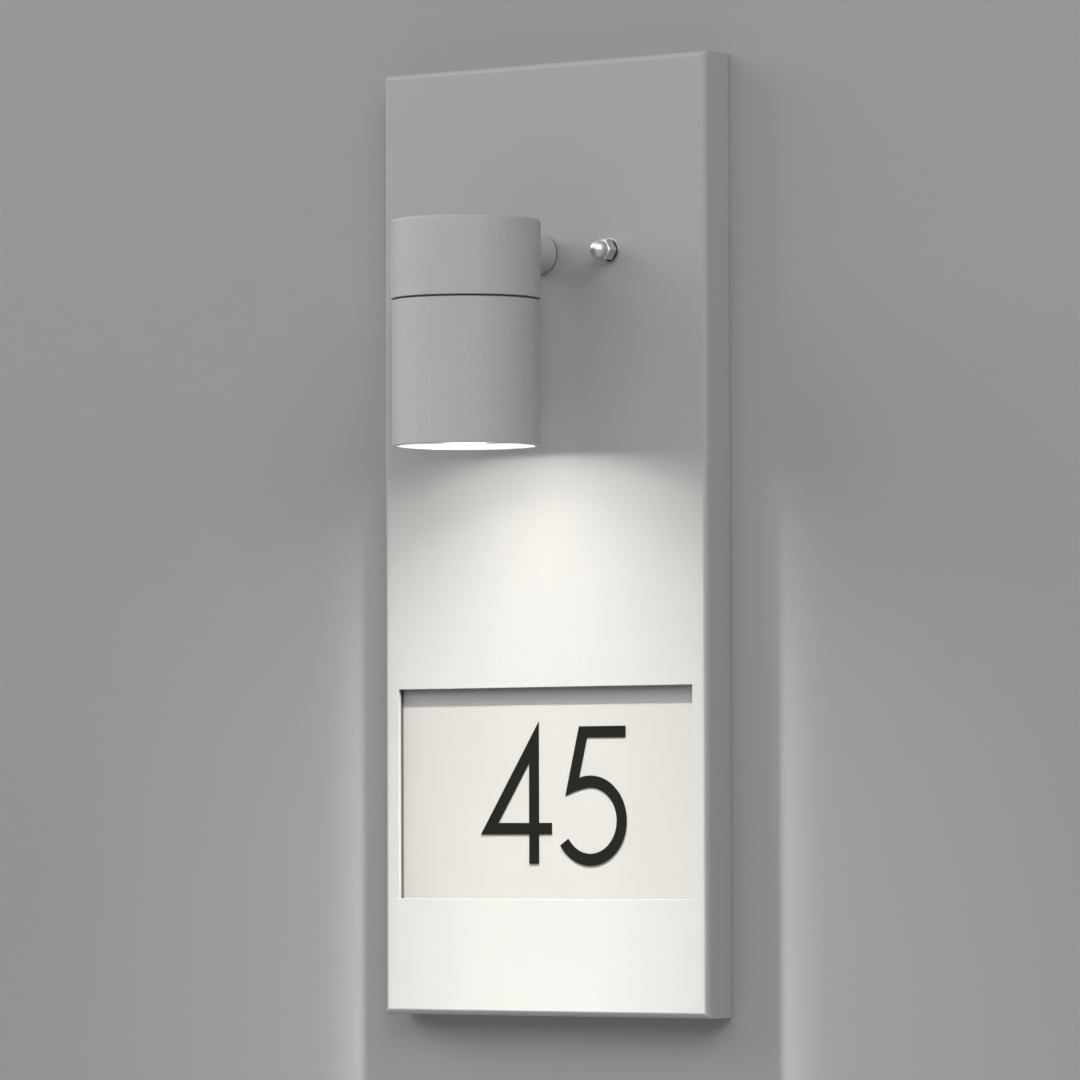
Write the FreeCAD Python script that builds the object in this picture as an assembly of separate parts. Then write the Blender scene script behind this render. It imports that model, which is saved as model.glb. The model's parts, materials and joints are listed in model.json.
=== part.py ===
import FreeCAD, Part
import math
import os

# Illuminated house number sign, millimetres.
# Origin: on the arm's axis, in the plane of the wall.  +Z up, -Y out of the wall, +X right
# as seen from the street.  "Front" faces -Y, "rear" faces the wall.

V = FreeCAD.Vector

# ---------------------------------------------------------------- driving dimensions

# Sign plate: a shallow folded tray, open towards the wall
PLATE_WIDTH = 167.0
PLATE_HEIGHT = 392.0
PLATE_DEPTH = 16.0
PLATE_SHEET = 1.5
PLATE_BEND = 2.3          # outside radius of the folds
PLATE_ABOVE_ARM = 79.0    # upper edge above the arm's axis
WEEP_HOLE_DIA = 5.0
WEEP_HOLE_SPREAD = 100.0

# Window, and the panel set back behind it
WINDOW_MARGIN = 7.5       # plate's side to the window
WINDOW_HEIGHT = 87.0
WINDOW_RISE = 48.0        # window above the plate's lower edge
PANEL_SHEET = 1.5
PANEL_SIDE_GAP = 1.0      # panel to the folded sides
PANEL_LAP = 6.0           # panel behind the plate, above and below the window
GASKET_THICK = 2.2
GASKET_SETBACK = 0.3      # gasket's inner edge behind the window's edge

# Bars that clamp the panel from behind, on small weld studs
BAR_SHEET = 1.2
BAR_END_GAP = 6.0         # bar's end to the folded side
BAR_FOOT = 12.0
BAR_LAP = 4.0             # bar over the panel
BAR_CLEAR = 0.5           # panel's edge to the bar's web
PANEL_STUD_SPREAD = 120.0
SMALL_STUD_DIA = 3.0
SMALL_NUT_FLATS = 5.5
SMALL_NUT_HEIGHT = 2.4
STUD_SHOW = 1.2           # thread standing out of a nut
HEX_FACE = 0.96           # turned face of a nut, as a share of its flats
HEX_CHAMFER = 30.0        # slope of the turned corners, degrees
DRILL_OVERRUN = 1.0       # blind hole past its screw's tip

# Digits: cut film, one stroke width, cap height from baseline to flat top
DIGIT_HEIGHT = 56.3
DIGIT_STROKE = 5.0
DIGIT_BAR = 4.7           # stroke of the level bars
DIGIT_FILM = 0.3
DIGIT_GAP = 4.3
NUMBER_SHIFT = 2.3        # number's middle, right of the window's middle
NUMBER_DROP = 0.9         # number's middle, below the window's middle
FOUR_WIDTH = 36.9
FOUR_STEM_RIGHT = 30.2    # right side of the stem from the left tip
FOUR_BAR_RISE = 12.1
FOUR_OVERSHOOT = 2.1      # pointed top above the cap height
FIVE_BOWL_RADIUS = 18.5
FIVE_OVERSHOOT = 0.9      # bowl below the baseline
FIVE_TOP_LEFT = 5.7       # top bar, left of the bowl's middle
FIVE_TOP_RIGHT = 18.0     # top bar, right of the bowl's middle
FIVE_LEAN = 14.0          # stem's slope, degrees
FIVE_STEM_DROP = 28.5     # flat top to the stem's pointed foot
FIVE_END_ANGLE = 213.0    # where the bowl is cut off, degrees
FIVE_JOIN_ANGLE = 100.0   # where the stem's foot runs into the bowl

# Wall bracket, its two studs, and what is threaded on them
BRACKET_THICK = 2.0
BRACKET_HEIGHT = 26.0
BRACKET_EDGE = 5.0        # slot's end to the bracket's end
BRACKET_CORNER = 4.0
CABLE_HOLE_DIA = 14.0
WALL_SLOT_SPREAD = 95.0
WALL_SLOT_LENGTH = 12.0
WALL_SLOT_WIDTH = 5.2
STUD_SPREAD = 70.0
STUD_DIA = 5.0
STUD_HEAD_DIA = 8.0
STUD_HEAD_THICK = 1.0
STUD_HOLE_DIA = 5.5
SPACER_DIA = 9.0
NUT_WASHER_DIA = 10.0
NUT_WASHER_THICK = 0.8
NUT_SEAL_DIA = 9.0
NUT_SEAL_THICK = 0.6
CAP_NUT_FLATS = 8.0
CAP_NUT_HEIGHT = 10.0
CAP_NUT_DOME_DIA = 7.5
CAP_NUT_HEX = 5.0
CAP_NUT_THREAD = 7.5      # depth of the blind thread
STUD_TIP_CLEAR = 0.6      # stud's tip to the end of that thread

# Arm and the hollow threaded pivot through it
ARM_DIA = 16.0
HEAD_REACH = 51.0         # plate's face to the head's axis
ARM_SEAL_THICK = 0.8
ARM_SEAL_INSET = 0.3      # seal's edge inside the arm's edge
NIPPLE_DIA = 10.0
NIPPLE_BORE = 6.0
NIPPLE_SHOW = 0.5         # thread behind the rear nut
NIPPLE_NUT_FLATS = 14.0
NIPPLE_NUT_HEIGHT = 2.5
PIVOT_CLEAR = 0.05        # radial, pivot in the plate's hole
STOP_WASHER_DIA = 20.0
STOP_WASHER_THICK = 1.0
STOP_TAB_WIDTH = 5.0
STOP_TAB_REACH = 14.0
STOP_PIN_DIA = 3.0
STOP_PIN_RADIUS = 12.0    # pins' distance from the pivot
STOP_PIN_HEIGHT = 2.0
STOP_CLEAR = 0.2          # tab to pin at the end of the swivel
SPRING_DIA = 18.0
SPRING_SHEET = 0.5
SPRING_HEIGHT = 1.0

# Head: upper housing with its spigot
HOUSING_DIA = 61.0
HOUSING_WALL = 2.5
HOUSING_TOP = 11.0        # above the arm's axis
HOUSING_SEAM = 21.0       # its lower edge, below the arm's axis
HOUSING_EDGE = 1.2        # fillet of the upper edge
CAP_THICK = 2.5
CAP_CLEAR = 0.03          # radial, cap pressed into the housing's bore
SPIGOT_LENGTH = 7.0
SPIGOT_WALL = 2.4
SPIGOT_SHOULDER = 2.5     # ring that joins the spigot to the housing's wall
SPIGOT_CLEAR = 0.2        # radial, in the shade
RING_GROOVE_DEPTH = 1.2
RING_GROOVE_WIDTH = 2.0
RING_GROOVE_DROP = 3.5    # middle of the groove below the seam
RING_ROUND = 0.8          # o-ring's fillet, as a share of its half section
NUT_PAD_THICK = 1.6       # flat for the nut, inside the curved wall
NUT_PAD_MARGIN = 1.4

# Shade and the glass in its mouth
SHADE_DIA = 60.0
SHADE_WALL = 2.0
SEAM_GAP = 0.8
SHADE_BOTTOM = 81.0       # below the arm's axis
SHADE_EDGE = 0.4
LENS_SEAT_THICK = 1.2     # ring inside the shade, above the glass
LENS_SEAT_BORE = 52.0
LENS_SEAL_THICK = 0.8
LENS_SEAL_INSET = 0.5     # seal's bore to the seat's bore
LENS_THICK = 3.0
LENS_CLEAR = 0.3
LENS_RING_THICK = 1.0
LENS_RING_BORE = 52.0
LENS_RING_RISE = 2.5      # ring above the shade's mouth
LENS_RING_GROOVE = 0.6    # depth of the ring's groove
LENS_RING_GAP = 6.0

# Reflector lamp with two bayonet pins
LAMP_DIA = 50.0
LAMP_RIM = 8.0
LAMP_NECK_DIA = 34.0
LAMP_NECK_LENGTH = 15.0
LAMP_BASE_DIA = 26.0
LAMP_BASE_LENGTH = 5.0
LAMP_LENGTH = 47.0
LAMP_WALL = 2.0
LAMP_EDGE = 0.5
LAMP_BOARD_DIA = 38.0
LAMP_BOARD_THICK = 1.6
LAMP_LENS_THICK = 2.0
LAMP_LENS_INSET = 1.5
LAMP_FRONT_CLEAR = 0.5    # lamp's face above the lens seat
PIN_SPREAD = 10.0
PIN_NECK_DIA = 2.8
PIN_HEAD_DIA = 5.0
PIN_HEAD_HEIGHT = 4.0
PIN_CLEAR = 0.3
ENTRY_CLEAR = 0.6         # radial, pin's head in the entry hole
TWIST_ANGLE = 20.0

# Lampholder and the strap that carries it
HOLDER_LENGTH = 30.0
HOLDER_WIDTH = 17.0
HOLDER_HEIGHT = 15.0
HOLDER_CLEAR = 0.3        # holder's face above the lamp's base
HOLDER_LEDGE = 2.2        # ceramic that the pins hang on
CONTACT_THICK = 0.8
CONTACT_WIDTH = 3.8
CONTACT_OVERRUN = 0.7     # contact past the wire
WIRE_OFFSET = 6.8         # wires behind the holder's middle
STRAP_SHEET = 1.0
STRAP_WIDTH = 10.0
STRAP_END_CLEAR = 0.4     # strap's corners to the spigot's bore, which it passes
STRAP_SCREW_SPREAD = 43.0
HOLDER_SCREW_SPREAD = 20.0
HOLDER_SCREW_LENGTH = 8.0
BOSS_DIA = 9.0
BOSS_RIB = 3.0            # rib from a boss to the housing's wall
SCREW_DIA = 3.0
SCREW_HEAD_DIA = 5.6
SCREW_HEAD_HEIGHT = 1.8
SCREW_LENGTH = 8.0
THREAD_CLEAR = 0.05       # radial, thread in its hole
PASS_CLEAR = 0.2          # radial, thread through a plain hole

# Terminal box, between the arm and the window
BOX_DROP = 30.0           # its upper side below the arm's axis
BOX_WIDTH = 56.0
BOX_HEIGHT = 44.0
BOX_WALL = 1.5
BOX_CORNER = 3.0
LID_THICK = 1.2
LID_WALL_GAP = 1.9        # lid to the wall
LID_POST_DIA = 6.0
LID_POST_SINK = 0.6       # post's side sunk into the box's wall
LID_SCREW_DIA = 2.5
LID_SCREW_HEAD_DIA = 4.6
LID_SCREW_HEAD_HEIGHT = 1.4
LID_SCREW_LENGTH = 6.0
BOX_STUD_INSET = 8.0      # stud from the box's side
BOX_STUD_RISE = 7.0       # stud from the box's upper or lower side
GROMMET_FLANGE = 1.0
GROMMET_RIM = 1.0
GROMMET_WALL = 0.8
INLET_BORE = 6.2

# Terminal block and its metal
BLOCK_POLES = 3
BLOCK_PITCH = 9.0
BLOCK_LENGTH = 16.0
BLOCK_HEIGHT = 9.0
BLOCK_RISE = 26.0         # its middle below the box's upper side
CLAMP_DIA = 5.4
CLAMP_BORE = 2.8
CLAMP_INSET = 0.5
CLAMP_SCREW_DIA = 2.8
CLAMP_SCREW_SPREAD = 8.0
CLAMP_SCREW_SINK = 0.4
BLOCK_SCREW_DIA = 2.4
BLOCK_SCREW_HEAD_DIA = 4.0
BLOCK_SCREW_HEAD_HEIGHT = 1.4
BLOCK_SCREW_SINK = 2.0    # head's seat below the block's rear side

# Earth point
EARTH_STUD_DIA = 4.0
EARTH_OFFSET = 21.0       # right of the arm's axis
EARTH_RISE = 10.0         # below the box's upper side
EARTH_NUT_FLATS = 7.0
EARTH_NUT_HEIGHT = 3.2
TAG_DIA = 8.0
TAG_SHEET = 0.8
TAG_BARREL_DIA = 3.2
TAG_BARREL_LENGTH = 4.0
TAG_NECK = 1.5            # ring's edge to the barrel
EARTH_WIRE_DIA = 2.2

# Lamp's lead: a sleeved pair on the pivot's axis
LEAD_DIA = 3.6
CORE_DIA = 1.8
LEAD_SPLIT = 4.0          # in front of the plate's face, inside the pivot
LEAD_OVER_BRACKET = 0.7
LEAD_IN_BOX = 2.5         # sleeve's end below the box's upper wall
LEAD_IN_HEAD = 4.0        # sleeve's end past the pivot's front end
CORE_ENTRY = 3.5          # wire inside a terminal
LEAD_STRAIGHT = 4.0       # sleeve's straight run above the box's grommet
CORE_STRAIGHT = 3.0       # wire's straight run beside a terminal or a sleeve's end
EARTH_STRAIGHT = 2.0      # earth wire's straight run above its terminal
HEAD_CORE_DROP = 3.0      # where the wires turn down in the head, below the arm's axis
BEND_SHARE = 0.45         # part of a run that its bend takes
TINY = 1e-4               # two heights that differ by less are equal

# ---------------------------------------------------------------- planes and centres

PLATE_TOP = PLATE_ABOVE_ARM
PLATE_BOTTOM = PLATE_TOP - PLATE_HEIGHT
FACE = -PLATE_DEPTH                       # plate's front face
BACK = FACE + PLATE_SHEET                 # rear side of the same sheet
WINDOW_WIDTH = PLATE_WIDTH - 2 * WINDOW_MARGIN
WINDOW_BOTTOM = PLATE_BOTTOM + WINDOW_RISE
WINDOW_TOP = WINDOW_BOTTOM + WINDOW_HEIGHT
PANEL_WIDTH = PLATE_WIDTH - 2 * (PLATE_SHEET + PANEL_SIDE_GAP)
PANEL_FACE = BACK + GASKET_THICK
PANEL_BACK = PANEL_FACE + PANEL_SHEET
PANEL_TOP = WINDOW_TOP + PANEL_LAP
PANEL_BOTTOM = WINDOW_BOTTOM - PANEL_LAP
BAR_LENGTH = PLATE_WIDTH - 2 * (PLATE_SHEET + BAR_END_GAP)

HEAD_Y = FACE - HEAD_REACH                # head's axis
HOUSING_BORE = HOUSING_DIA / 2 - HOUSING_WALL
CAVITY_TOP = HOUSING_TOP - CAP_THICK
SHADE_BORE = SHADE_DIA / 2 - SHADE_WALL
SPIGOT_RADIUS = SHADE_BORE - SPIGOT_CLEAR
SPIGOT_BORE = SPIGOT_RADIUS - SPIGOT_WALL
PAD_HALF = NIPPLE_NUT_FLATS / math.sqrt(3) + NUT_PAD_MARGIN
PAD_FACE = HEAD_Y + math.sqrt(HOUSING_BORE ** 2 - PAD_HALF ** 2) - NUT_PAD_THICK

STOP_BACK = BACK + STOP_WASHER_THICK
SPRING_BACK = STOP_BACK + SPRING_HEIGHT
REAR_NUT_BACK = SPRING_BACK + NIPPLE_NUT_HEIGHT
NIPPLE_BACK = REAR_NUT_BACK + NIPPLE_SHOW
HOUSING_NUT_FRONT = PAD_FACE - NIPPLE_NUT_HEIGHT
NIPPLE_FRONT = HOUSING_NUT_FRONT - STUD_SHOW

LENS_RING_BOTTOM = -SHADE_BOTTOM + LENS_RING_RISE
LENS_BOTTOM = LENS_RING_BOTTOM + LENS_RING_THICK
LENS_TOP = LENS_BOTTOM + LENS_THICK
LENS_SEAT_BOTTOM = LENS_TOP + LENS_SEAL_THICK
LENS_SEAT_TOP = LENS_SEAT_BOTTOM + LENS_SEAT_THICK
LAMP_FRONT = LENS_SEAT_TOP + LAMP_FRONT_CLEAR
LAMP_TOP = LAMP_FRONT + LAMP_LENGTH
HOLDER_BOTTOM = LAMP_TOP + HOLDER_CLEAR
HOLDER_TOP = HOLDER_BOTTOM + HOLDER_HEIGHT
LEDGE_TOP = HOLDER_BOTTOM + HOLDER_LEDGE
PIN_HEAD_BOTTOM = LEDGE_TOP + PIN_CLEAR
PIN_TOP = PIN_HEAD_BOTTOM + PIN_HEAD_HEIGHT
CONTACT_BOTTOM = PIN_TOP + PIN_CLEAR
CONTACT_TOP = CONTACT_BOTTOM + CONTACT_THICK
STRAP_TOP = HOLDER_TOP + STRAP_SHEET
WIRE_Y = HEAD_Y + WIRE_OFFSET

BOX_TOP = -BOX_DROP
BOX_BOTTOM = BOX_TOP - BOX_HEIGHT
BOX_FLOOR = BACK + BOX_WALL
LID_BACK = -LID_WALL_GAP
LID_FRONT = LID_BACK - LID_THICK
BOX_MIDDLE = (BOX_FLOOR + LID_FRONT) / 2
BLOCK_Z = BOX_TOP - BLOCK_RISE
BLOCK_BACK = BOX_FLOOR + BLOCK_HEIGHT
CLAMP_Y = BOX_FLOOR + BLOCK_HEIGHT / 2
BLOCK_SCREW_SEAT = BLOCK_BACK - BLOCK_SCREW_SINK
EARTH_Z = BOX_TOP - EARTH_RISE
LEAD_BORE = LEAD_DIA + 2 * THREAD_CLEAR
LEAD_Y = -(BRACKET_THICK + LEAD_OVER_BRACKET + LEAD_DIA / 2)
LEAD_END_Z = BOX_TOP - BOX_WALL - LEAD_IN_BOX
CORE_OFFSET = CORE_DIA / 2 + THREAD_CLEAR


# ---------------------------------------------------------------- shape helpers

def block(x, y, z):
    """Box between the given pairs of x, y and z."""
    size = [abs(pair[1] - pair[0]) for pair in (x, y, z)]
    return Part.makeBox(size[0], size[1], size[2], V(min(x), min(y), min(z)))


def rod_y(dia, x, z, y):
    """Cylinder along Y, from y[0] to y[1]."""
    return Part.makeCylinder(dia / 2, max(y) - min(y), V(x, min(y), z), V(0, 1, 0))


def rod_z(dia, x, y, z):
    """Cylinder along Z, from z[0] to z[1]."""
    return Part.makeCylinder(dia / 2, max(z) - min(z), V(x, y, min(z)), V(0, 0, 1))


def ring_y(dia, bore, x, z, y):
    return rod_y(dia, x, z, y).cut(rod_y(bore, x, z, y))


def ring_z(dia, bore, x, y, z):
    return rod_z(dia, x, y, z).cut(rod_z(bore, x, y, z))


def turned_y(profile, x, z):
    """Solid turned about a line along Y, from (radius, y) points."""
    corners = [V(x + radius, y, z) for radius, y in profile]
    face = Part.Face(Part.makePolygon(corners + corners[:1]))
    return face.revolve(V(x, 0, z), V(0, 1, 0), 360)


def turned_z(profile, x, y):
    """Solid turned about a line along Z, from (radius, z) points."""
    corners = [V(x + radius, y, z) for radius, z in profile]
    face = Part.Face(Part.makePolygon(corners + corners[:1]))
    return face.revolve(V(x, y, 0), V(0, 0, 1), 360)


def hex_y(flats, x, z, y):
    """Hexagon bar along Y with its corners turned down at both ends."""
    corner = flats / math.sqrt(3)
    low, high = min(y), max(y)
    corners = [V(x + corner * math.cos(math.radians(a)), low, z + corner * math.sin(math.radians(a)))
               for a in range(0, 361, 60)]
    prism = Part.Face(Part.makePolygon(corners)).extrude(V(0, high - low, 0))
    face = flats / 2 * HEX_FACE
    drop = (corner - face) * math.tan(math.radians(HEX_CHAMFER))
    blank = turned_y([(0, low), (face, low), (corner, low + drop), (corner, high - drop),
                      (face, high), (0, high)], x, z)
    return prism.common(blank)


def nut_y(flats, bore, x, z, y):
    return hex_y(flats, x, z, y).cut(rod_y(bore, x, z, y))


def slot_y(length, width, x, z, y):
    """Round-ended slot along X, cut through Y."""
    half = (length - width) / 2
    middle = block((x - half, x + half), y, (z - width / 2, z + width / 2))
    return middle.fuse([rod_y(width, x - half, z, y), rod_y(width, x + half, z, y)])


def rounded_block(x, y, z, radius):
    """Box whose four edges along Y are rounded."""
    shape = block(x, y, z)
    upright = [edge for edge in shape.Edges
               if abs(edge.Vertexes[0].Y - edge.Vertexes[1].Y) > abs(y[1] - y[0]) / 2]
    return shape.makeFillet(radius, upright)


def group(shapes):
    """Equal pieces that share one node, as separate solids."""
    return Part.makeCompound(list(shapes))


def wire_solid(points, dia):
    """Round lead through points: straight runs joined by arcs as large as the runs allow."""
    points = [V(*point) for point in points]
    edges = []
    start = points[0]
    for before, corner, after in zip(points, points[1:], points[2:]):
        back = before - corner
        ahead = after - corner
        setback = BEND_SHARE * min(back.Length, ahead.Length)
        back.normalize()
        ahead.normalize()
        half = back.getAngle(ahead) / 2
        bend = setback * math.tan(half)
        towards = back + ahead
        towards.normalize()
        first = corner + back * setback
        last = corner + ahead * setback
        middle = corner + towards * (bend / math.sin(half) - bend)
        edges.append(Part.LineSegment(start, first).toShape())
        edges.append(Part.Arc(first, middle, last).toShape())
        start = last
    edges.append(Part.LineSegment(start, points[-1]).toShape())
    section = Part.Circle(points[0], points[1] - points[0], dia / 2).toShape()
    return Part.Wire(edges).makePipeShell([Part.Wire(section)], True, False)


def edges_in_plane(shape, y):
    """Edges that lie wholly in the plane at y."""
    return [edge for edge in shape.Edges
            if all(abs(vertex.Y - y) < TINY for vertex in edge.Vertexes)]


def edges_at_height(shape, z):
    """Round edges that lie wholly at the height z."""
    return [edge for edge in shape.Edges
            if abs(edge.BoundBox.ZMin - z) < TINY and abs(edge.BoundBox.ZMax - z) < TINY]


# ---------------------------------------------------------------- plate and panel

def sign_plate():
    """Folded tray with welded corners, a window, the pivot's hole and two stud holes."""
    half = PLATE_WIDTH / 2
    outer = block((-half, half), (FACE, 0), (PLATE_BOTTOM, PLATE_TOP))
    outer = outer.makeFillet(PLATE_BEND, edges_in_plane(outer, FACE))
    inner = block((-half + PLATE_SHEET, half - PLATE_SHEET), (BACK, 0),
                  (PLATE_BOTTOM + PLATE_SHEET, PLATE_TOP - PLATE_SHEET))
    inner = inner.makeFillet(PLATE_BEND - PLATE_SHEET, edges_in_plane(inner, BACK))
    through = (FACE, BACK)
    window = block((-WINDOW_WIDTH / 2, WINDOW_WIDTH / 2), through, (WINDOW_BOTTOM, WINDOW_TOP))
    holes = [rod_y(NIPPLE_DIA + 2 * PIVOT_CLEAR, 0, 0, through)]
    for x in (-STUD_SPREAD / 2, STUD_SPREAD / 2):
        holes.append(rod_y(STUD_HOLE_DIA, x, 0, through))
    for x in (-WEEP_HOLE_SPREAD / 2, WEEP_HOLE_SPREAD / 2):
        holes.append(rod_z(WEEP_HOLE_DIA, x, FACE / 2, (PLATE_BOTTOM, PLATE_BOTTOM + PLATE_SHEET)))
    return outer.cut([inner, window] + holes)


def number_panel():
    half = PANEL_WIDTH / 2
    return block((-half, half), (PANEL_FACE, PANEL_BACK), (PANEL_BOTTOM, PANEL_TOP))


def panel_gasket():
    """Foam frame between plate and panel, set back so that a dark joint shows."""
    half = PANEL_WIDTH / 2
    depth = (BACK, PANEL_FACE)
    opening = WINDOW_WIDTH / 2 + GASKET_SETBACK
    frame = block((-half, half), depth, (PANEL_BOTTOM, PANEL_TOP))
    hollow = block((-opening, opening), depth,
                   (WINDOW_BOTTOM - GASKET_SETBACK, WINDOW_TOP + GASKET_SETBACK))
    return frame.cut(hollow)


def panel_stud_places():
    """Middles of the weld studs: in the feet of the upper and the lower bar."""
    step = BAR_CLEAR + BAR_SHEET + (BAR_FOOT - BAR_SHEET) / 2
    for z in (PANEL_TOP + step, PANEL_BOTTOM - step):
        for x in (-PANEL_STUD_SPREAD / 2, PANEL_STUD_SPREAD / 2):
            yield x, z


def panel_bar(edge, outward):
    """Stepped bar: its foot lies on the plate, its lap presses on the panel's edge."""
    half = BAR_LENGTH / 2
    web = edge + outward * BAR_CLEAR
    foot = block((-half, half), (BACK, BACK + BAR_SHEET), (web, web + outward * BAR_FOOT))
    riser = block((-half, half), (BACK, PANEL_BACK + BAR_SHEET), (web, web + outward * BAR_SHEET))
    lap = block((-half, half), (PANEL_BACK, PANEL_BACK + BAR_SHEET),
                (edge - outward * BAR_LAP, web + outward * BAR_SHEET))
    bar = foot.fuse([riser, lap]).removeSplitter()
    holes = [rod_y(SMALL_STUD_DIA + 2 * PASS_CLEAR, x, z, (BACK, BACK + BAR_SHEET))
             for x, z in panel_stud_places()]
    return bar.cut(holes)


def panel_studs():
    end = BACK + BAR_SHEET + SMALL_NUT_HEIGHT + STUD_SHOW
    return group(rod_y(SMALL_STUD_DIA, x, z, (BACK, end)) for x, z in panel_stud_places())


def panel_nuts():
    seat = BACK + BAR_SHEET
    bore = SMALL_STUD_DIA + 2 * THREAD_CLEAR
    return group(nut_y(SMALL_NUT_FLATS, bore, x, z, (seat, seat + SMALL_NUT_HEIGHT))
                 for x, z in panel_stud_places())


# ---------------------------------------------------------------- digits

def number_origin():
    """Left end and baseline of the whole number on the panel."""
    width = FOUR_WIDTH + DIGIT_GAP + five_reach_left() + FIVE_BOWL_RADIUS
    left = NUMBER_SHIFT - width / 2
    baseline = (WINDOW_BOTTOM + WINDOW_TOP - DIGIT_HEIGHT) / 2 - NUMBER_DROP
    return left, baseline


def five_reach_left():
    """How far the end of the bowl reaches left of the bowl's middle."""
    return -FIVE_BOWL_RADIUS * math.cos(math.radians(FIVE_END_ANGLE))


def digit_face(edges):
    """Film cut to an outline of edges, laid on the panel."""
    return Part.Face(Part.Wire(edges)).extrude(V(0, -DIGIT_FILM, 0))


def outline(corners, left, baseline):
    """Closed run of straight edges through (u, v) corners."""
    points = [V(left + u, PANEL_FACE, baseline + v) for u, v in corners]
    return Part.makePolygon(points + points[:1]).Edges


def digit_4():
    left, baseline = number_origin()
    top = DIGIT_HEIGHT + FOUR_OVERSHOOT
    stem_left = FOUR_STEM_RIGHT - DIGIT_STROKE
    bar_top = FOUR_BAR_RISE + DIGIT_BAR
    rise = top - FOUR_BAR_RISE
    length = math.hypot(FOUR_STEM_RIGHT, rise)
    run, climb = FOUR_STEM_RIGHT / length, rise / length
    outer = outline([(0, FOUR_BAR_RISE), (stem_left, FOUR_BAR_RISE), (stem_left, 0),
                     (FOUR_STEM_RIGHT, 0), (FOUR_STEM_RIGHT, FOUR_BAR_RISE),
                     (FOUR_WIDTH, FOUR_BAR_RISE), (FOUR_WIDTH, bar_top),
                     (FOUR_STEM_RIGHT, bar_top), (FOUR_STEM_RIGHT, top)], left, baseline)
    low = (DIGIT_STROKE + DIGIT_BAR * run) / climb
    high = FOUR_BAR_RISE + (stem_left * climb - DIGIT_STROKE) / run
    counter = outline([(low, bar_top), (stem_left, bar_top), (stem_left, high)], left, baseline)
    return digit_face(outer).cut(digit_face(counter))


def digit_5():
    left, baseline = number_origin()
    middle = V(left + FOUR_WIDTH + DIGIT_GAP + five_reach_left(), PANEL_FACE,
               baseline + FIVE_BOWL_RADIUS - FIVE_OVERSHOOT)
    top = baseline + DIGIT_HEIGHT - middle.z
    inner = FIVE_BOWL_RADIUS - DIGIT_STROKE
    slope = math.tan(math.radians(FIVE_LEAN))

    def spot(u, v):
        return middle + V(u, 0, v)

    def on_circle(radius, angle):
        return spot(radius * math.cos(math.radians(angle)), radius * math.sin(math.radians(angle)))

    across = DIGIT_STROKE / math.cos(math.radians(FIVE_LEAN))
    foot = spot(-FIVE_TOP_LEFT - FIVE_STEM_DROP * slope, top - FIVE_STEM_DROP)
    corner = spot(-FIVE_TOP_LEFT, top)
    inner_corner = spot(-FIVE_TOP_LEFT - DIGIT_BAR * slope + across, top - DIGIT_BAR)
    # The stem's inner side, u = offset + v * slope, meets the bowl's outer circle
    offset = inner_corner.x - middle.x - (inner_corner.z - middle.z) * slope
    square = 1 + slope ** 2
    meet_v = (math.sqrt(FIVE_BOWL_RADIUS ** 2 * square - offset ** 2) - offset * slope) / square
    meet = spot(offset + meet_v * slope, meet_v)
    meet_angle = math.degrees(math.atan2(meet_v, offset + meet_v * slope))
    outer_end = on_circle(FIVE_BOWL_RADIUS, FIVE_END_ANGLE)
    inner_end = on_circle(inner, FIVE_END_ANGLE)
    join = on_circle(inner, FIVE_JOIN_ANGLE)
    # A shallow arc that leaves the bowl's inner circle without a corner
    tangent = V(math.sin(math.radians(FIVE_JOIN_ANGLE)), 0, -math.cos(math.radians(FIVE_JOIN_ANGLE)))
    chord = foot - join
    normal = V(-tangent.z, 0, tangent.x)
    radius = chord.Length ** 2 / (2 * chord.dot(normal))
    centre = join + normal * radius
    bisector = (foot + join) * 0.5 - centre
    bisector.normalize()
    bulge = centre + bisector * abs(radius)
    outer_way = (meet_angle + FIVE_END_ANGLE - 360) / 2
    inner_way = (FIVE_JOIN_ANGLE + FIVE_END_ANGLE - 360) / 2
    edges = [
        Part.LineSegment(corner, spot(FIVE_TOP_RIGHT, top)).toShape(),
        Part.LineSegment(spot(FIVE_TOP_RIGHT, top), spot(FIVE_TOP_RIGHT, top - DIGIT_BAR)).toShape(),
        Part.LineSegment(spot(FIVE_TOP_RIGHT, top - DIGIT_BAR), inner_corner).toShape(),
        Part.LineSegment(inner_corner, meet).toShape(),
        Part.Arc(meet, on_circle(FIVE_BOWL_RADIUS, outer_way), outer_end).toShape(),
        Part.LineSegment(outer_end, inner_end).toShape(),
        Part.Arc(inner_end, on_circle(inner, inner_way), join).toShape(),
        Part.Arc(join, bulge, foot).toShape(),
        Part.LineSegment(foot, corner).toShape(),
    ]
    return digit_face(edges)


# ---------------------------------------------------------------- wall bracket and its fixings

def stud_places():
    return [-STUD_SPREAD / 2, STUD_SPREAD / 2]


def wall_bracket():
    """Flat bar on the wall: two slots for wall screws, a cable hole, two counterbored stud holes."""
    half = (WALL_SLOT_SPREAD + WALL_SLOT_LENGTH) / 2 + BRACKET_EDGE
    depth = (-BRACKET_THICK, 0)
    bar = rounded_block((-half, half), depth, (-BRACKET_HEIGHT / 2, BRACKET_HEIGHT / 2), BRACKET_CORNER)
    cuts = [rod_y(CABLE_HOLE_DIA, 0, 0, depth)]
    for x in (-WALL_SLOT_SPREAD / 2, WALL_SLOT_SPREAD / 2):
        cuts.append(slot_y(WALL_SLOT_LENGTH, WALL_SLOT_WIDTH, x, 0, depth))
    for x in stud_places():
        cuts.append(rod_y(STUD_DIA + 2 * THREAD_CLEAR, x, 0, depth))
        cuts.append(rod_y(STUD_HEAD_DIA + 2 * THREAD_CLEAR, x, 0, (-STUD_HEAD_THICK, 0)))
    return bar.cut(cuts)


def washer_front():
    return FACE - NUT_WASHER_THICK


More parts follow.
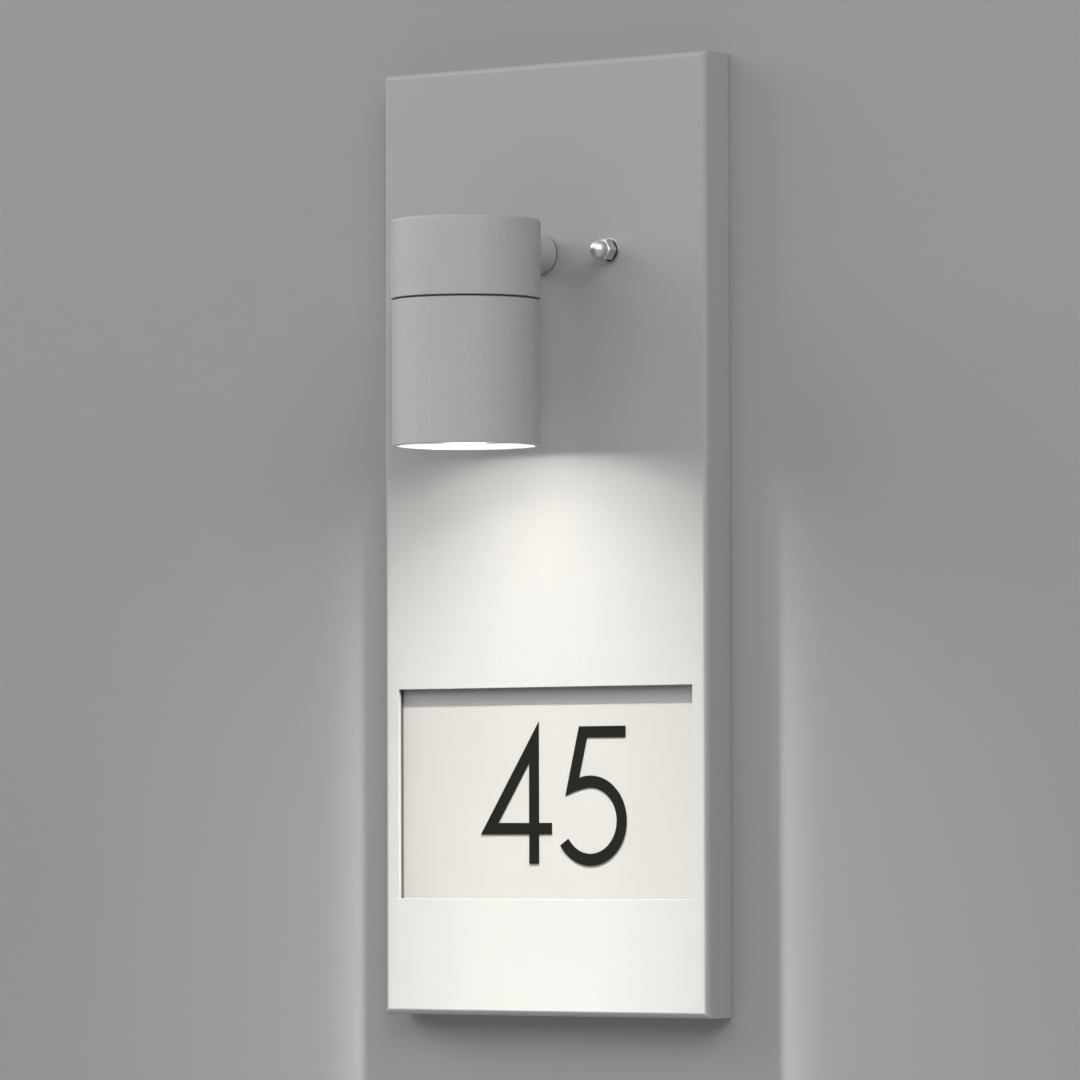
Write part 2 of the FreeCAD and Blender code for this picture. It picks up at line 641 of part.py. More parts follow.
def seal_front():
    return washer_front() - NUT_SEAL_THICK


def bracket_studs():
    tip = seal_front() - CAP_NUT_THREAD + STUD_TIP_CLEAR
    return group(rod_y(STUD_DIA, x, 0, (tip, -STUD_HEAD_THICK)).fuse(
        rod_y(STUD_HEAD_DIA, x, 0, (-STUD_HEAD_THICK, 0))) for x in stud_places())


def stud_spacers():
    """Sleeves that stop the cap nuts from pulling the plate in."""
    bore = STUD_DIA + 2 * PASS_CLEAR
    return group(ring_y(SPACER_DIA, bore, x, 0, (BACK, -BRACKET_THICK)) for x in stud_places())


def nut_washers():
    bore = STUD_DIA + 2 * PASS_CLEAR
    return group(ring_y(NUT_WASHER_DIA, bore, x, 0, (washer_front(), FACE)) for x in stud_places())


def nut_seals():
    bore = STUD_DIA + 2 * PASS_CLEAR
    return group(ring_y(NUT_SEAL_DIA, bore, x, 0, (seal_front(), washer_front())) for x in stud_places())


def cap_nut(x):
    """Domed nut with a blind thread, its open end on the seal."""
    seat = seal_front()
    radius = CAP_NUT_DOME_DIA / 2
    shoulder = seat - (CAP_NUT_HEIGHT - radius)
    body = hex_y(CAP_NUT_FLATS, x, 0, (seat - CAP_NUT_HEX, seat))
    neck = rod_y(CAP_NUT_DOME_DIA, x, 0, (shoulder, seat))
    dome = Part.makeSphere(radius, V(x, shoulder, 0))
    thread = rod_y(STUD_DIA + 2 * THREAD_CLEAR, x, 0, (seat - CAP_NUT_THREAD, seat))
    return body.fuse([neck, dome]).removeSplitter().cut(thread)


def cap_nuts():
    return group(cap_nut(x) for x in stud_places())


# ---------------------------------------------------------------- swivel

def stop_pins():
    """Two pins that the tab meets a quarter turn either way."""
    drop = STOP_TAB_WIDTH / 2 + STOP_PIN_DIA / 2 + STOP_CLEAR
    side = math.sqrt(STOP_PIN_RADIUS ** 2 - drop ** 2)
    return group(rod_y(STOP_PIN_DIA, x, -drop, (BACK, BACK + STOP_PIN_HEIGHT)) for x in (-side, side))


def stop_washer():
    """Washer that turns with the pivot, its tab upwards."""
    depth = (BACK, STOP_BACK)
    tab = block((-STOP_TAB_WIDTH / 2, STOP_TAB_WIDTH / 2), depth, (0, STOP_TAB_REACH))
    disc = rod_y(STOP_WASHER_DIA, 0, 0, depth).fuse(tab).removeSplitter()
    return disc.cut(rod_y(NIPPLE_DIA + 2 * THREAD_CLEAR, 0, 0, depth))


def friction_spring():
    """Dished spring washer that holds the head where it is turned to."""
    inner = NIPPLE_DIA / 2 + PASS_CLEAR
    outer = SPRING_DIA / 2
    return turned_y([(outer, STOP_BACK), (outer, STOP_BACK + SPRING_SHEET),
                     (inner, SPRING_BACK), (inner, SPRING_BACK - SPRING_SHEET)], 0, 0)


def rear_nut():
    return nut_y(NIPPLE_NUT_FLATS, NIPPLE_DIA + 2 * THREAD_CLEAR, 0, 0, (SPRING_BACK, REAR_NUT_BACK))


def housing_nut():
    return nut_y(NIPPLE_NUT_FLATS, NIPPLE_DIA + 2 * THREAD_CLEAR, 0, 0, (HOUSING_NUT_FRONT, PAD_FACE))


def arm_nipple():
    """Hollow threaded pivot, from behind the plate into the head."""
    return ring_y(NIPPLE_DIA, NIPPLE_BORE, 0, 0, (NIPPLE_FRONT, NIPPLE_BACK))


def arm_seal():
    bore = NIPPLE_DIA + 2 * PASS_CLEAR
    return ring_y(ARM_DIA - 2 * ARM_SEAL_INSET, bore, 0, 0, (FACE - ARM_SEAL_THICK, FACE))


def arm_tube():
    """Round arm, coped to the head's curve."""
    arm = rod_y(ARM_DIA, 0, 0, (HEAD_Y, FACE - ARM_SEAL_THICK))
    bore = rod_y(NIPPLE_DIA + 2 * PASS_CLEAR, 0, 0, (HEAD_Y, FACE))
    head = rod_z(HOUSING_DIA, 0, HEAD_Y, (-ARM_DIA, ARM_DIA))
    return arm.cut([bore, head])


# ---------------------------------------------------------------- head

def strap_screw_places():
    return [-STRAP_SCREW_SPREAD / 2, STRAP_SCREW_SPREAD / 2]


def holder_screw_places():
    return [-HOLDER_SCREW_SPREAD / 2, HOLDER_SCREW_SPREAD / 2]


def ring_groove():
    return -HOUSING_SEAM - RING_GROOVE_DROP


def upper_housing():
    """Cast tube: spigot below, a flat for the pivot's nut, two screw bosses inside."""
    shell = rod_z(HOUSING_DIA, 0, HEAD_Y, (-HOUSING_SEAM, HOUSING_TOP))
    shell = shell.makeFillet(HOUSING_EDGE, edges_at_height(shell, HOUSING_TOP))
    spigot_end = -HOUSING_SEAM - SPIGOT_LENGTH
    shell = shell.fuse(rod_z(2 * SPIGOT_RADIUS, 0, HEAD_Y, (spigot_end, -HOUSING_SEAM)))
    shoulder = -HOUSING_SEAM + SPIGOT_SHOULDER
    cavity = rod_z(2 * HOUSING_BORE, 0, HEAD_Y, (shoulder, HOUSING_TOP))
    mouth = rod_z(2 * SPIGOT_BORE, 0, HEAD_Y, (spigot_end, shoulder))
    pad = block((-PAD_HALF, PAD_HALF), (PAD_FACE, FACE), (-PAD_HALF, CAVITY_TOP)).common(cavity)
    height = (STRAP_TOP, CAVITY_TOP)
    rib = block((-HOUSING_DIA / 2, HOUSING_DIA / 2), (HEAD_Y - BOSS_RIB / 2, HEAD_Y + BOSS_RIB / 2), height)
    inner_ends = strap_screw_places()
    rib = rib.common(cavity).cut(block(inner_ends, (HEAD_Y - BOSS_RIB, HEAD_Y + BOSS_RIB), height))
    bosses = [rod_z(BOSS_DIA, x, HEAD_Y, height) for x in strap_screw_places()]
    groove = ring_z(2 * SHADE_BORE, 2 * (SPIGOT_RADIUS - RING_GROOVE_DEPTH), 0, HEAD_Y,
                    (ring_groove() - RING_GROOVE_WIDTH / 2, ring_groove() + RING_GROOVE_WIDTH / 2))
    pivot = rod_y(NIPPLE_DIA + 2 * THREAD_CLEAR, 0, 0, (HEAD_Y, FACE))
    threads = [rod_z(SCREW_DIA + 2 * THREAD_CLEAR, x, HEAD_Y,
                     (STRAP_TOP, STRAP_TOP + SCREW_LENGTH + DRILL_OVERRUN)) for x in strap_screw_places()]
    shell = shell.cut([cavity, mouth]).fuse([pad, rib] + bosses)
    return shell.cut([groove, pivot] + threads).removeSplitter()


def housing_cap():
    """Disc that closes the housing from above, seated on its bosses and its flat."""
    return rod_z(2 * (HOUSING_BORE - CAP_CLEAR), 0, HEAD_Y, (CAVITY_TOP, HOUSING_TOP))


def housing_o_ring():
    """Ring squeezed between the spigot's groove and the shade."""
    floor = SPIGOT_RADIUS - RING_GROOVE_DEPTH + THREAD_CLEAR
    reach = SHADE_BORE - SPIGOT_CLEAR / 2
    half = RING_GROOVE_WIDTH / 2 - THREAD_CLEAR
    ring = ring_z(2 * reach, 2 * floor, 0, HEAD_Y, (ring_groove() - half, ring_groove() + half))
    return ring.makeFillet(RING_ROUND * min(half, (reach - floor) / 2),
                           [edge for edge in ring.Edges if edge.BoundBox.ZLength < TINY])


def holder_strap():
    """Strip across the housing: the ceramic hangs from it."""
    half = math.sqrt((SPIGOT_BORE - STRAP_END_CLEAR) ** 2 - (STRAP_WIDTH / 2) ** 2)
    depth = (HEAD_Y - STRAP_WIDTH / 2, HEAD_Y + STRAP_WIDTH / 2)
    strip = block((-half, half), depth, (HOLDER_TOP, STRAP_TOP))
    holes = [rod_z(SCREW_DIA + 2 * PASS_CLEAR, x, HEAD_Y, (HOLDER_TOP, STRAP_TOP))
             for x in strap_screw_places() + holder_screw_places()]
    return strip.cut(holes)


def strap_screws():
    """From below, up into the bosses."""
    return group(rod_z(SCREW_DIA, x, HEAD_Y, (HOLDER_TOP, STRAP_TOP + SCREW_LENGTH)).fuse(
        rod_z(SCREW_HEAD_DIA, x, HEAD_Y, (HOLDER_TOP - SCREW_HEAD_HEIGHT, HOLDER_TOP)))
        for x in strap_screw_places())


def holder_screws():
    """From above, down into the ceramic."""
    return group(rod_z(SCREW_DIA, x, HEAD_Y, (HOLDER_TOP - HOLDER_SCREW_LENGTH, STRAP_TOP)).fuse(
        rod_z(SCREW_HEAD_DIA, x, HEAD_Y, (STRAP_TOP, STRAP_TOP + SCREW_HEAD_HEIGHT)))
        for x in holder_screw_places())


def pin_places(turn=0.0):
    """Middles of the two pins about the head's axis, turned by degrees."""
    for angle in (turn, turn + 180):
        yield (PIN_SPREAD / 2 * math.cos(math.radians(angle)),
               HEAD_Y + PIN_SPREAD / 2 * math.sin(math.radians(angle)))


def arc_slot(start, width, z):
    """Slot that a pin sweeps from the angle start, clockwise by the twist."""
    middle_radius = PIN_SPREAD / 2
    near, far = middle_radius - width / 2, middle_radius + width / 2
    end = start - TWIST_ANGLE
    halfway = start - TWIST_ANGLE / 2

    def spot(radius, angle, along=0.0):
        turn = math.radians(angle)
        return V(radius * math.cos(turn) - along * math.sin(turn),
                 HEAD_Y + radius * math.sin(turn) + along * math.cos(turn), z[0])

    edges = [
        Part.Arc(spot(far, end), spot(far, halfway), spot(far, start)).toShape(),
        Part.Arc(spot(far, start), spot(middle_radius, start, width / 2), spot(near, start)).toShape(),
        Part.Arc(spot(near, start), spot(near, halfway), spot(near, end)).toShape(),
        Part.Arc(spot(near, end), spot(middle_radius, end, -width / 2), spot(far, end)).toShape(),
    ]
    return Part.Face(Part.Wire(edges)).extrude(V(0, 0, z[1] - z[0]))


def contact_pocket(side, clear):
    """Space of one contact leaf: over its pin and out to its wire."""
    middle = side * PIN_SPREAD / 2
    half = CONTACT_WIDTH / 2 + clear
    wire_edge = WIRE_Y + CORE_DIA / 2 + CONTACT_OVERRUN + clear
    return block((middle - half, middle + half), (HEAD_Y - half, wire_edge),
                 (CONTACT_BOTTOM, CONTACT_TOP + clear))


def lampholder():
    """Ceramic holder: keyhole slots below, wire holes and screw holes above."""
    straight = (HOLDER_LENGTH - HOLDER_WIDTH) / 2
    height = (HOLDER_BOTTOM, HOLDER_TOP)
    body = block((-straight, straight), (HEAD_Y - HOLDER_WIDTH / 2, HEAD_Y + HOLDER_WIDTH / 2), height)
    body = body.fuse([rod_z(HOLDER_WIDTH, x, HEAD_Y, height) for x in (-straight, straight)])
    body = body.removeSplitter()
    cuts = []
    for start in (0, 180):
        cuts.append(arc_slot(start, PIN_NECK_DIA + 2 * PIN_CLEAR, (HOLDER_BOTTOM, LEDGE_TOP)))
        cuts.append(arc_slot(start, PIN_HEAD_DIA + 2 * PIN_CLEAR, (LEDGE_TOP, CONTACT_BOTTOM)))
    for x, y in pin_places(-TWIST_ANGLE):
        cuts.append(rod_z(PIN_HEAD_DIA + 2 * ENTRY_CLEAR, x, y, (HOLDER_BOTTOM, LEDGE_TOP)))
    for side in (-1, 1):
        cuts.append(contact_pocket(side, THREAD_CLEAR))
        cuts.append(rod_z(CORE_DIA + 2 * PASS_CLEAR, side * PIN_SPREAD / 2, WIRE_Y,
                          (CONTACT_TOP, HOLDER_TOP)))
    for x in holder_screw_places():
        cuts.append(rod_z(SCREW_DIA + 2 * THREAD_CLEAR, x, HEAD_Y,
                          (HOLDER_TOP - HOLDER_SCREW_LENGTH - DRILL_OVERRUN, HOLDER_TOP)))
    return body.cut(cuts)


def holder_contacts():
    return group(contact_pocket(side, 0) for side in (-1, 1))


# ---------------------------------------------------------------- shade and glass

def lens_groove_dia():
    return 2 * (SHADE_BORE + LENS_RING_GROOVE)


def shade():
    """Plain tube with a groove for the lens ring above its mouth."""
    top = -HOUSING_SEAM - SEAM_GAP
    tube = rod_z(SHADE_DIA, 0, HEAD_Y, (-SHADE_BOTTOM, top))
    rims = edges_at_height(tube, -SHADE_BOTTOM) + edges_at_height(tube, top)
    tube = tube.makeFillet(SHADE_EDGE, rims)
    bore = rod_z(2 * SHADE_BORE, 0, HEAD_Y, (-SHADE_BOTTOM, top))
    groove = rod_z(lens_groove_dia(), 0, HEAD_Y, (LENS_RING_BOTTOM, LENS_BOTTOM))
    return tube.cut([bore, groove])


def ring_in_shade(bore, height):
    return ring_z(2 * (SHADE_BORE - THREAD_CLEAR), bore, 0, HEAD_Y, height)


def lens_seat():
    """Ring fixed inside the shade, which the glass is held against."""
    return ring_in_shade(LENS_SEAT_BORE, (LENS_SEAT_BOTTOM, LENS_SEAT_TOP))


def lens_seal():
    return ring_in_shade(LENS_SEAT_BORE + 2 * LENS_SEAL_INSET, (LENS_TOP, LENS_SEAT_BOTTOM))


def lens_glass():
    disc = rod_z(2 * (SHADE_BORE - LENS_CLEAR), 0, HEAD_Y, (LENS_BOTTOM, LENS_TOP))
    return disc.makeChamfer(LENS_CLEAR, edges_at_height(disc, LENS_TOP) + edges_at_height(disc, LENS_BOTTOM))


def lens_ring():
    """Split spring ring in the shade's groove, under the glass."""
    height = (LENS_RING_BOTTOM, LENS_BOTTOM)
    ring = ring_z(lens_groove_dia() - 2 * THREAD_CLEAR, LENS_RING_BORE, 0, HEAD_Y, height)
    gap = block((-LENS_RING_GAP / 2, LENS_RING_GAP / 2), (HEAD_Y - SHADE_DIA, HEAD_Y), height)
    return ring.cut(gap)


# ---------------------------------------------------------------- lamp

def lamp_body():
    """Hollow reflector lamp: rim, cone, neck and base, with a seat for its lens."""
    rim = LAMP_DIA / 2
    neck = LAMP_NECK_DIA / 2
    base = LAMP_BASE_DIA / 2
    cone = (LAMP_FRONT + LAMP_RIM, LAMP_TOP - LAMP_NECK_LENGTH)
    shoulder = LAMP_TOP - LAMP_BASE_LENGTH
    body = turned_z([(0, LAMP_FRONT), (rim - LAMP_EDGE, LAMP_FRONT), (rim, LAMP_FRONT + LAMP_EDGE),
                     (rim, cone[0]), (neck, cone[1]), (neck - LAMP_EDGE, shoulder), (base, shoulder),
                     (base, LAMP_TOP), (0, LAMP_TOP)], 0, HEAD_Y)
    seat = rod_z(LAMP_DIA - 2 * LAMP_LENS_INSET, 0, HEAD_Y, (LAMP_FRONT, LAMP_FRONT + LAMP_LENS_THICK))
    hollow = turned_z([(0, LAMP_FRONT), (rim - LAMP_WALL, LAMP_FRONT), (rim - LAMP_WALL, cone[0]),
                       (neck - LAMP_WALL, cone[1]), (neck - LAMP_WALL, shoulder - LAMP_WALL),
                       (0, shoulder - LAMP_WALL)], 0, HEAD_Y)
    return body.cut([seat, hollow])


def lamp_board():
    """Round circuit board wedged in the lamp's cone, its light sources facing down."""
    rim = LAMP_DIA / 2 - LAMP_WALL
    neck = LAMP_NECK_DIA / 2 - LAMP_WALL
    low, high = LAMP_FRONT + LAMP_RIM, LAMP_TOP - LAMP_NECK_LENGTH
    top = low + (high - low) * (rim - LAMP_BOARD_DIA / 2) / (rim - neck)
    return rod_z(LAMP_BOARD_DIA, 0, HEAD_Y, (top - LAMP_BOARD_THICK, top))


def lamp_lens():
    dia = LAMP_DIA - 2 * LAMP_LENS_INSET - 2 * THREAD_CLEAR
    return rod_z(dia, 0, HEAD_Y, (LAMP_FRONT, LAMP_FRONT + LAMP_LENS_THICK))


def lamp_pins():
    """Necked pins: the heads hang on the holder's ledge."""
    return group(rod_z(PIN_NECK_DIA, x, y, (LAMP_TOP, PIN_HEAD_BOTTOM)).fuse(
        rod_z(PIN_HEAD_DIA, x, y, (PIN_HEAD_BOTTOM, PIN_TOP))) for x, y in pin_places())


# ---------------------------------------------------------------- terminal box

def box_stud_places():
    """Two opposite corners; the earth stud holds a third."""
    x = BOX_WIDTH / 2 - BOX_STUD_INSET
    return [(-x, BOX_TOP - BOX_STUD_RISE), (x, BOX_BOTTOM + BOX_STUD_RISE)]


def lid_post_places():
    z = (BOX_TOP + BOX_BOTTOM) / 2
    x = BOX_WIDTH / 2 - BOX_WALL + LID_POST_SINK - LID_POST_DIA / 2
    return [(-x, z), (x, z)]


def block_screw_places():
    return [(pole + 0.5 - (BLOCK_POLES - 1) / 2) * BLOCK_PITCH for pole in range(BLOCK_POLES - 1)]


def pole_places():
    return [(pole - (BLOCK_POLES - 1) / 2) * BLOCK_PITCH for pole in range(BLOCK_POLES)]


def grommet_hole(bore):
    return bore + 2 * GROMMET_WALL


def terminal_box():
    """Open moulded box fixed to the back of the plate."""
    half = BOX_WIDTH / 2
    outer = rounded_block((-half, half), (BACK, LID_FRONT), (BOX_BOTTOM, BOX_TOP), BOX_CORNER)
    inner = rounded_block((-half + BOX_WALL, half - BOX_WALL), (BOX_FLOOR, LID_FRONT),
                          (BOX_BOTTOM + BOX_WALL, BOX_TOP - BOX_WALL), BOX_CORNER - BOX_WALL)
    shape = outer.cut(inner).fuse([rod_y(LID_POST_DIA, x, z, (BOX_FLOOR, LID_FRONT))
                                   for x, z in lid_post_places()]).removeSplitter()
    through = (BACK, BOX_FLOOR)
    cuts = [rod_z(grommet_hole(LEAD_BORE), 0, BOX_MIDDLE, (BOX_TOP - BOX_WALL, BOX_TOP)),
            rod_z(grommet_hole(INLET_BORE), 0, BOX_MIDDLE, (BOX_BOTTOM, BOX_BOTTOM + BOX_WALL)),
            rod_y(EARTH_STUD_DIA + 2 * PASS_CLEAR, EARTH_OFFSET, EARTH_Z, through)]
    for x, z in box_stud_places():
        cuts.append(rod_y(SMALL_STUD_DIA + 2 * PASS_CLEAR, x, z, through))
    for x in block_screw_places():
        cuts.append(rod_y(BLOCK_SCREW_DIA + 2 * THREAD_CLEAR, x, BLOCK_Z, through))
    for x, z in lid_post_places():
        cuts.append(rod_y(LID_SCREW_DIA + 2 * THREAD_CLEAR, x, z,
                          (LID_BACK - LID_SCREW_LENGTH - DRILL_OVERRUN, LID_FRONT)))
    return shape.cut(cuts)


def terminal_box_lid():
    half = BOX_WIDTH / 2
    lid = rounded_block((-half, half), (LID_FRONT, LID_BACK), (BOX_BOTTOM, BOX_TOP), BOX_CORNER)
    return lid.cut([rod_y(LID_SCREW_DIA + 2 * PASS_CLEAR, x, z, (LID_FRONT, LID_BACK))
                    for x, z in lid_post_places()])


def lid_screws():
    return group(rod_y(LID_SCREW_DIA, x, z, (LID_BACK - LID_SCREW_LENGTH, LID_BACK)).fuse(
        rod_y(LID_SCREW_HEAD_DIA, x, z, (LID_BACK, LID_BACK + LID_SCREW_HEAD_HEIGHT)))
        for x, z in lid_post_places())


def box_studs():
    end = BOX_FLOOR + SMALL_NUT_HEIGHT + STUD_SHOW
    return group(rod_y(SMALL_STUD_DIA, x, z, (BACK, end)) for x, z in box_stud_places())


def box_nuts():
    bore = SMALL_STUD_DIA + 2 * THREAD_CLEAR
    return group(nut_y(SMALL_NUT_FLATS, bore, x, z, (BOX_FLOOR, BOX_FLOOR + SMALL_NUT_HEIGHT))
                 for x, z in box_stud_places())


def grommet(bore, outside, inward):
    """Rubber ring in the box's wall: outside is the wall's outer side, inward its direction."""
    hole = grommet_hole(bore) / 2
    flange = hole + GROMMET_RIM
    inside = outside + inward * BOX_WALL
    outer_face = outside - inward * GROMMET_FLANGE
    inner_face = inside + inward * GROMMET_FLANGE
    return turned_z([(bore / 2, outer_face), (flange, outer_face), (flange, outside), (hole, outside),
                     (hole, inside), (flange, inside), (flange, inner_face), (bore / 2, inner_face)],
                    0, BOX_MIDDLE)


def lead_grommet():
    return grommet(LEAD_BORE, BOX_TOP, -1)


def inlet_grommet():
    return grommet(INLET_BORE, BOX_BOTTOM, 1)


def clamp_screw_heights():
    return [BLOCK_Z - CLAMP_SCREW_SPREAD / 2, BLOCK_Z + CLAMP_SCREW_SPREAD / 2]


def terminal_block():
    """Row of poles: a clamp lies in each, reached by two screws from behind."""
    half = BLOCK_POLES * BLOCK_PITCH / 2
    ends = (BLOCK_Z - BLOCK_LENGTH / 2, BLOCK_Z + BLOCK_LENGTH / 2)
    body = block((-half, half), (BOX_FLOOR, BLOCK_BACK), ends)
    cuts = []
    for x in pole_places():
        cuts.append(rod_z(CLAMP_DIA + 2 * THREAD_CLEAR, x, CLAMP_Y, ends))
        for z in clamp_screw_heights():
            cuts.append(rod_y(CLAMP_SCREW_DIA + 2 * PASS_CLEAR, x, z, (CLAMP_Y, BLOCK_BACK)))
    for x in block_screw_places():
        cuts.append(rod_y(BLOCK_SCREW_DIA + 2 * PASS_CLEAR, x, BLOCK_Z, (BOX_FLOOR, BLOCK_BACK)))
        cuts.append(rod_y(BLOCK_SCREW_HEAD_DIA + 2 * PASS_CLEAR, x, BLOCK_Z, (BLOCK_SCREW_SEAT, BLOCK_BACK)))
    return body.cut(cuts)


def terminal_clamps():
    ends = (BLOCK_Z - BLOCK_LENGTH / 2 + CLAMP_INSET, BLOCK_Z + BLOCK_LENGTH / 2 - CLAMP_INSET)
    bore = CLAMP_SCREW_DIA + 2 * THREAD_CLEAR
    clamps = []
    for x in pole_places():
        barrel = ring_z(CLAMP_DIA, CLAMP_BORE, x, CLAMP_Y, ends)
        clamps.append(barrel.cut([rod_y(bore, x, z, (CLAMP_Y, BLOCK_BACK)) for z in clamp_screw_heights()]))
    return group(clamps)


def terminal_screws():
    tip = CLAMP_Y + max(CORE_DIA, EARTH_WIRE_DIA) / 2 + THREAD_CLEAR
    return group(rod_y(CLAMP_SCREW_DIA, x, z, (tip, BLOCK_BACK - CLAMP_SCREW_SINK))
                 for x in pole_places() for z in clamp_screw_heights())


def block_screws():
    head = (BLOCK_SCREW_SEAT, BLOCK_SCREW_SEAT + BLOCK_SCREW_HEAD_HEIGHT)
    return group(rod_y(BLOCK_SCREW_DIA, x, BLOCK_Z, (BACK, BLOCK_SCREW_SEAT)).fuse(
        rod_y(BLOCK_SCREW_HEAD_DIA, x, BLOCK_Z, head)) for x in block_screw_places())


# ---------------------------------------------------------------- earth point and leads

def tag_top():
    return BOX_FLOOR + TAG_SHEET


def tag_barrel_y():
    return BOX_FLOOR + TAG_BARREL_DIA / 2


def tag_barrel_start():
    return EARTH_OFFSET - TAG_DIA / 2 - TAG_NECK


def tag_barrel_end():
    return tag_barrel_start() - TAG_BARREL_LENGTH


def earth_stud():
    return rod_y(EARTH_STUD_DIA, EARTH_OFFSET, EARTH_Z, (BACK, tag_top() + EARTH_NUT_HEIGHT + STUD_SHOW))


def earth_nut():
    return nut_y(EARTH_NUT_FLATS, EARTH_STUD_DIA + 2 * THREAD_CLEAR, EARTH_OFFSET, EARTH_Z,
                 (tag_top(), tag_top() + EARTH_NUT_HEIGHT))


def earth_tag():
    """Ring tag with a crimped barrel towards the terminal block."""
    ring = rod_y(TAG_DIA, EARTH_OFFSET, EARTH_Z, (BOX_FLOOR, tag_top()))
    mouth = V(tag_barrel_end(), tag_barrel_y(), EARTH_Z)
    barrel = Part.makeCylinder(TAG_BARREL_DIA / 2, TAG_BARREL_LENGTH, mouth, V(1, 0, 0))
    neck = block((tag_barrel_start() - TAG_SHEET, EARTH_OFFSET), (BOX_FLOOR, tag_top()),
                 (EARTH_Z - TAG_BARREL_DIA / 2, EARTH_Z + TAG_BARREL_DIA / 2))
    crimp = Part.makeCylinder(EARTH_WIRE_DIA / 2 + THREAD_CLEAR, TAG_BARREL_LENGTH, mouth, V(1, 0, 0))
    hole = rod_y(EARTH_STUD_DIA + 2 * THREAD_CLEAR, EARTH_OFFSET, EARTH_Z, (BOX_FLOOR, tag_top()))
    return ring.fuse([barrel, neck]).removeSplitter().cut([crimp, hole])


def pole_entry():
    """Height at which a wire's end stands inside a clamp."""
    return BLOCK_Z + BLOCK_LENGTH / 2 - CORE_ENTRY


def earth_lead():
    """From the right pole up and over to the tag."""
    x = pole_places()[-1]
    above = BLOCK_Z + BLOCK_LENGTH / 2 + EARTH_STRAIGHT
    return wire_solid([(x, CLAMP_Y, pole_entry()), (x, CLAMP_Y, above),
                       (x, tag_barrel_y(), EARTH_Z),
                       (tag_barrel_start(), tag_barrel_y(), EARTH_Z)],
                      EARTH_WIRE_DIA)


def tray_lead():
    """Sleeve from inside the pivot, down over the bracket, into the terminal box."""
    bracket_foot = -BRACKET_HEIGHT / 2
    above_box = BOX_TOP + GROMMET_FLANGE + LEAD_STRAIGHT
    return wire_solid([(0, FACE - LEAD_SPLIT, 0), (0, LEAD_Y, 0), (0, LEAD_Y, bracket_foot),
                       (0, BOX_MIDDLE, above_box), (0, BOX_MIDDLE, LEAD_END_Z)], LEAD_DIA)


def tray_cores():
    """Two cores from the sleeve's end to the left and middle poles."""
    cores = []
    below_sleeve = LEAD_END_Z - CORE_STRAIGHT
    above_block = BLOCK_Z + BLOCK_LENGTH / 2 + CORE_STRAIGHT
    for side, x in zip((-1, 1), pole_places()):
        start = side * CORE_OFFSET
        cores.append(wire_solid([(start, BOX_MIDDLE, LEAD_END_Z), (start, BOX_MIDDLE, below_sleeve),
                                 (x, CLAMP_Y, above_block), (x, CLAMP_Y, pole_entry())], CORE_DIA))
    return group(cores)


def head_lead():
    """Sleeve inside the pivot, straight into the head."""
    return rod_y(LEAD_DIA, 0, 0, (NIPPLE_FRONT - LEAD_IN_HEAD, FACE - LEAD_SPLIT))


def head_cores():
    """Two cores from the sleeve's end down to the holder's contacts."""
    start = NIPPLE_FRONT - LEAD_IN_HEAD
    cores = []
    for side in (-1, 1):
        x = side * PIN_SPREAD / 2
        offset = side * CORE_OFFSET
        cores.append(wire_solid([(offset, start, 0), (offset, start - CORE_STRAIGHT, 0),
                                 (x, WIRE_Y, -HEAD_CORE_DROP), (x, WIRE_Y, CONTACT_TOP)], CORE_DIA))
    return group(cores)


# ---------------------------------------------------------------- write one file per node

NODES = {
    "sign_plate": sign_plate(),
    "number_panel": number_panel(),
    "panel_gasket": panel_gasket(),
    "panel_bar_upper": panel_bar(PANEL_TOP, 1),
    "panel_bar_lower": panel_bar(PANEL_BOTTOM, -1),
    "panel_studs": panel_studs(),
    "panel_nuts": panel_nuts(),
    "digit_4": digit_4(),
    "digit_5": digit_5(),
    "wall_bracket": wall_bracket(),
    "bracket_studs": bracket_studs(),
    "stud_spacers": stud_spacers(),
    "nut_washers": nut_washers(),
    "nut_seals": nut_seals(),
    "cap_nuts": cap_nuts(),
    "stop_pins": stop_pins(),
    "terminal_box": terminal_box(),
    "terminal_box_lid": terminal_box_lid(),
    "lid_screws": lid_screws(),
    "box_studs": box_studs(),
    "box_nuts": box_nuts(),
    "lead_grommet": lead_grommet(),
    "inlet_grommet": inlet_grommet(),
    "terminal_block": terminal_block(),
    "terminal_clamps": terminal_clamps(),
    "terminal_screws": terminal_screws(),
    "block_screws": block_screws(),
    "earth_stud": earth_stud(),
    "earth_tag": earth_tag(),
    "earth_nut": earth_nut(),
    "earth_lead": earth_lead(),
    "tray_lead": tray_lead(),
    "tray_cores": tray_cores(),
    "arm_seal": arm_seal(),
    "arm_tube": arm_tube(),
    "arm_nipple": arm_nipple(),
    "stop_washer": stop_washer(),
    "friction_spring": friction_spring(),
    "rear_nut": rear_nut(),
    "housing_nut": housing_nut(),
    "upper_housing": upper_housing(),
    "housing_cap": housing_cap(),
    "housing_o_ring": housing_o_ring(),
    "lampholder": lampholder(),
    "holder_contacts": holder_contacts(),
    "holder_strap": holder_strap(),
    "strap_screws": strap_screws(),
    "holder_screws": holder_screws(),
    "head_lead": head_lead(),
    "head_cores": head_cores(),
    "shade": shade(),
    "lens_seat": lens_seat(),
    "lens_seal": lens_seal(),
    "lens_glass": lens_glass(),
    "lens_ring": lens_ring(),
    "lamp_body": lamp_body(),
    "lamp_board": lamp_board(),
    "lamp_lens": lamp_lens(),
    "lamp_pins": lamp_pins(),
}

os.makedirs("parts", exist_ok=True)
for name, shape in NODES.items():
    shape.exportStep(os.path.join("parts", name + ".step"))
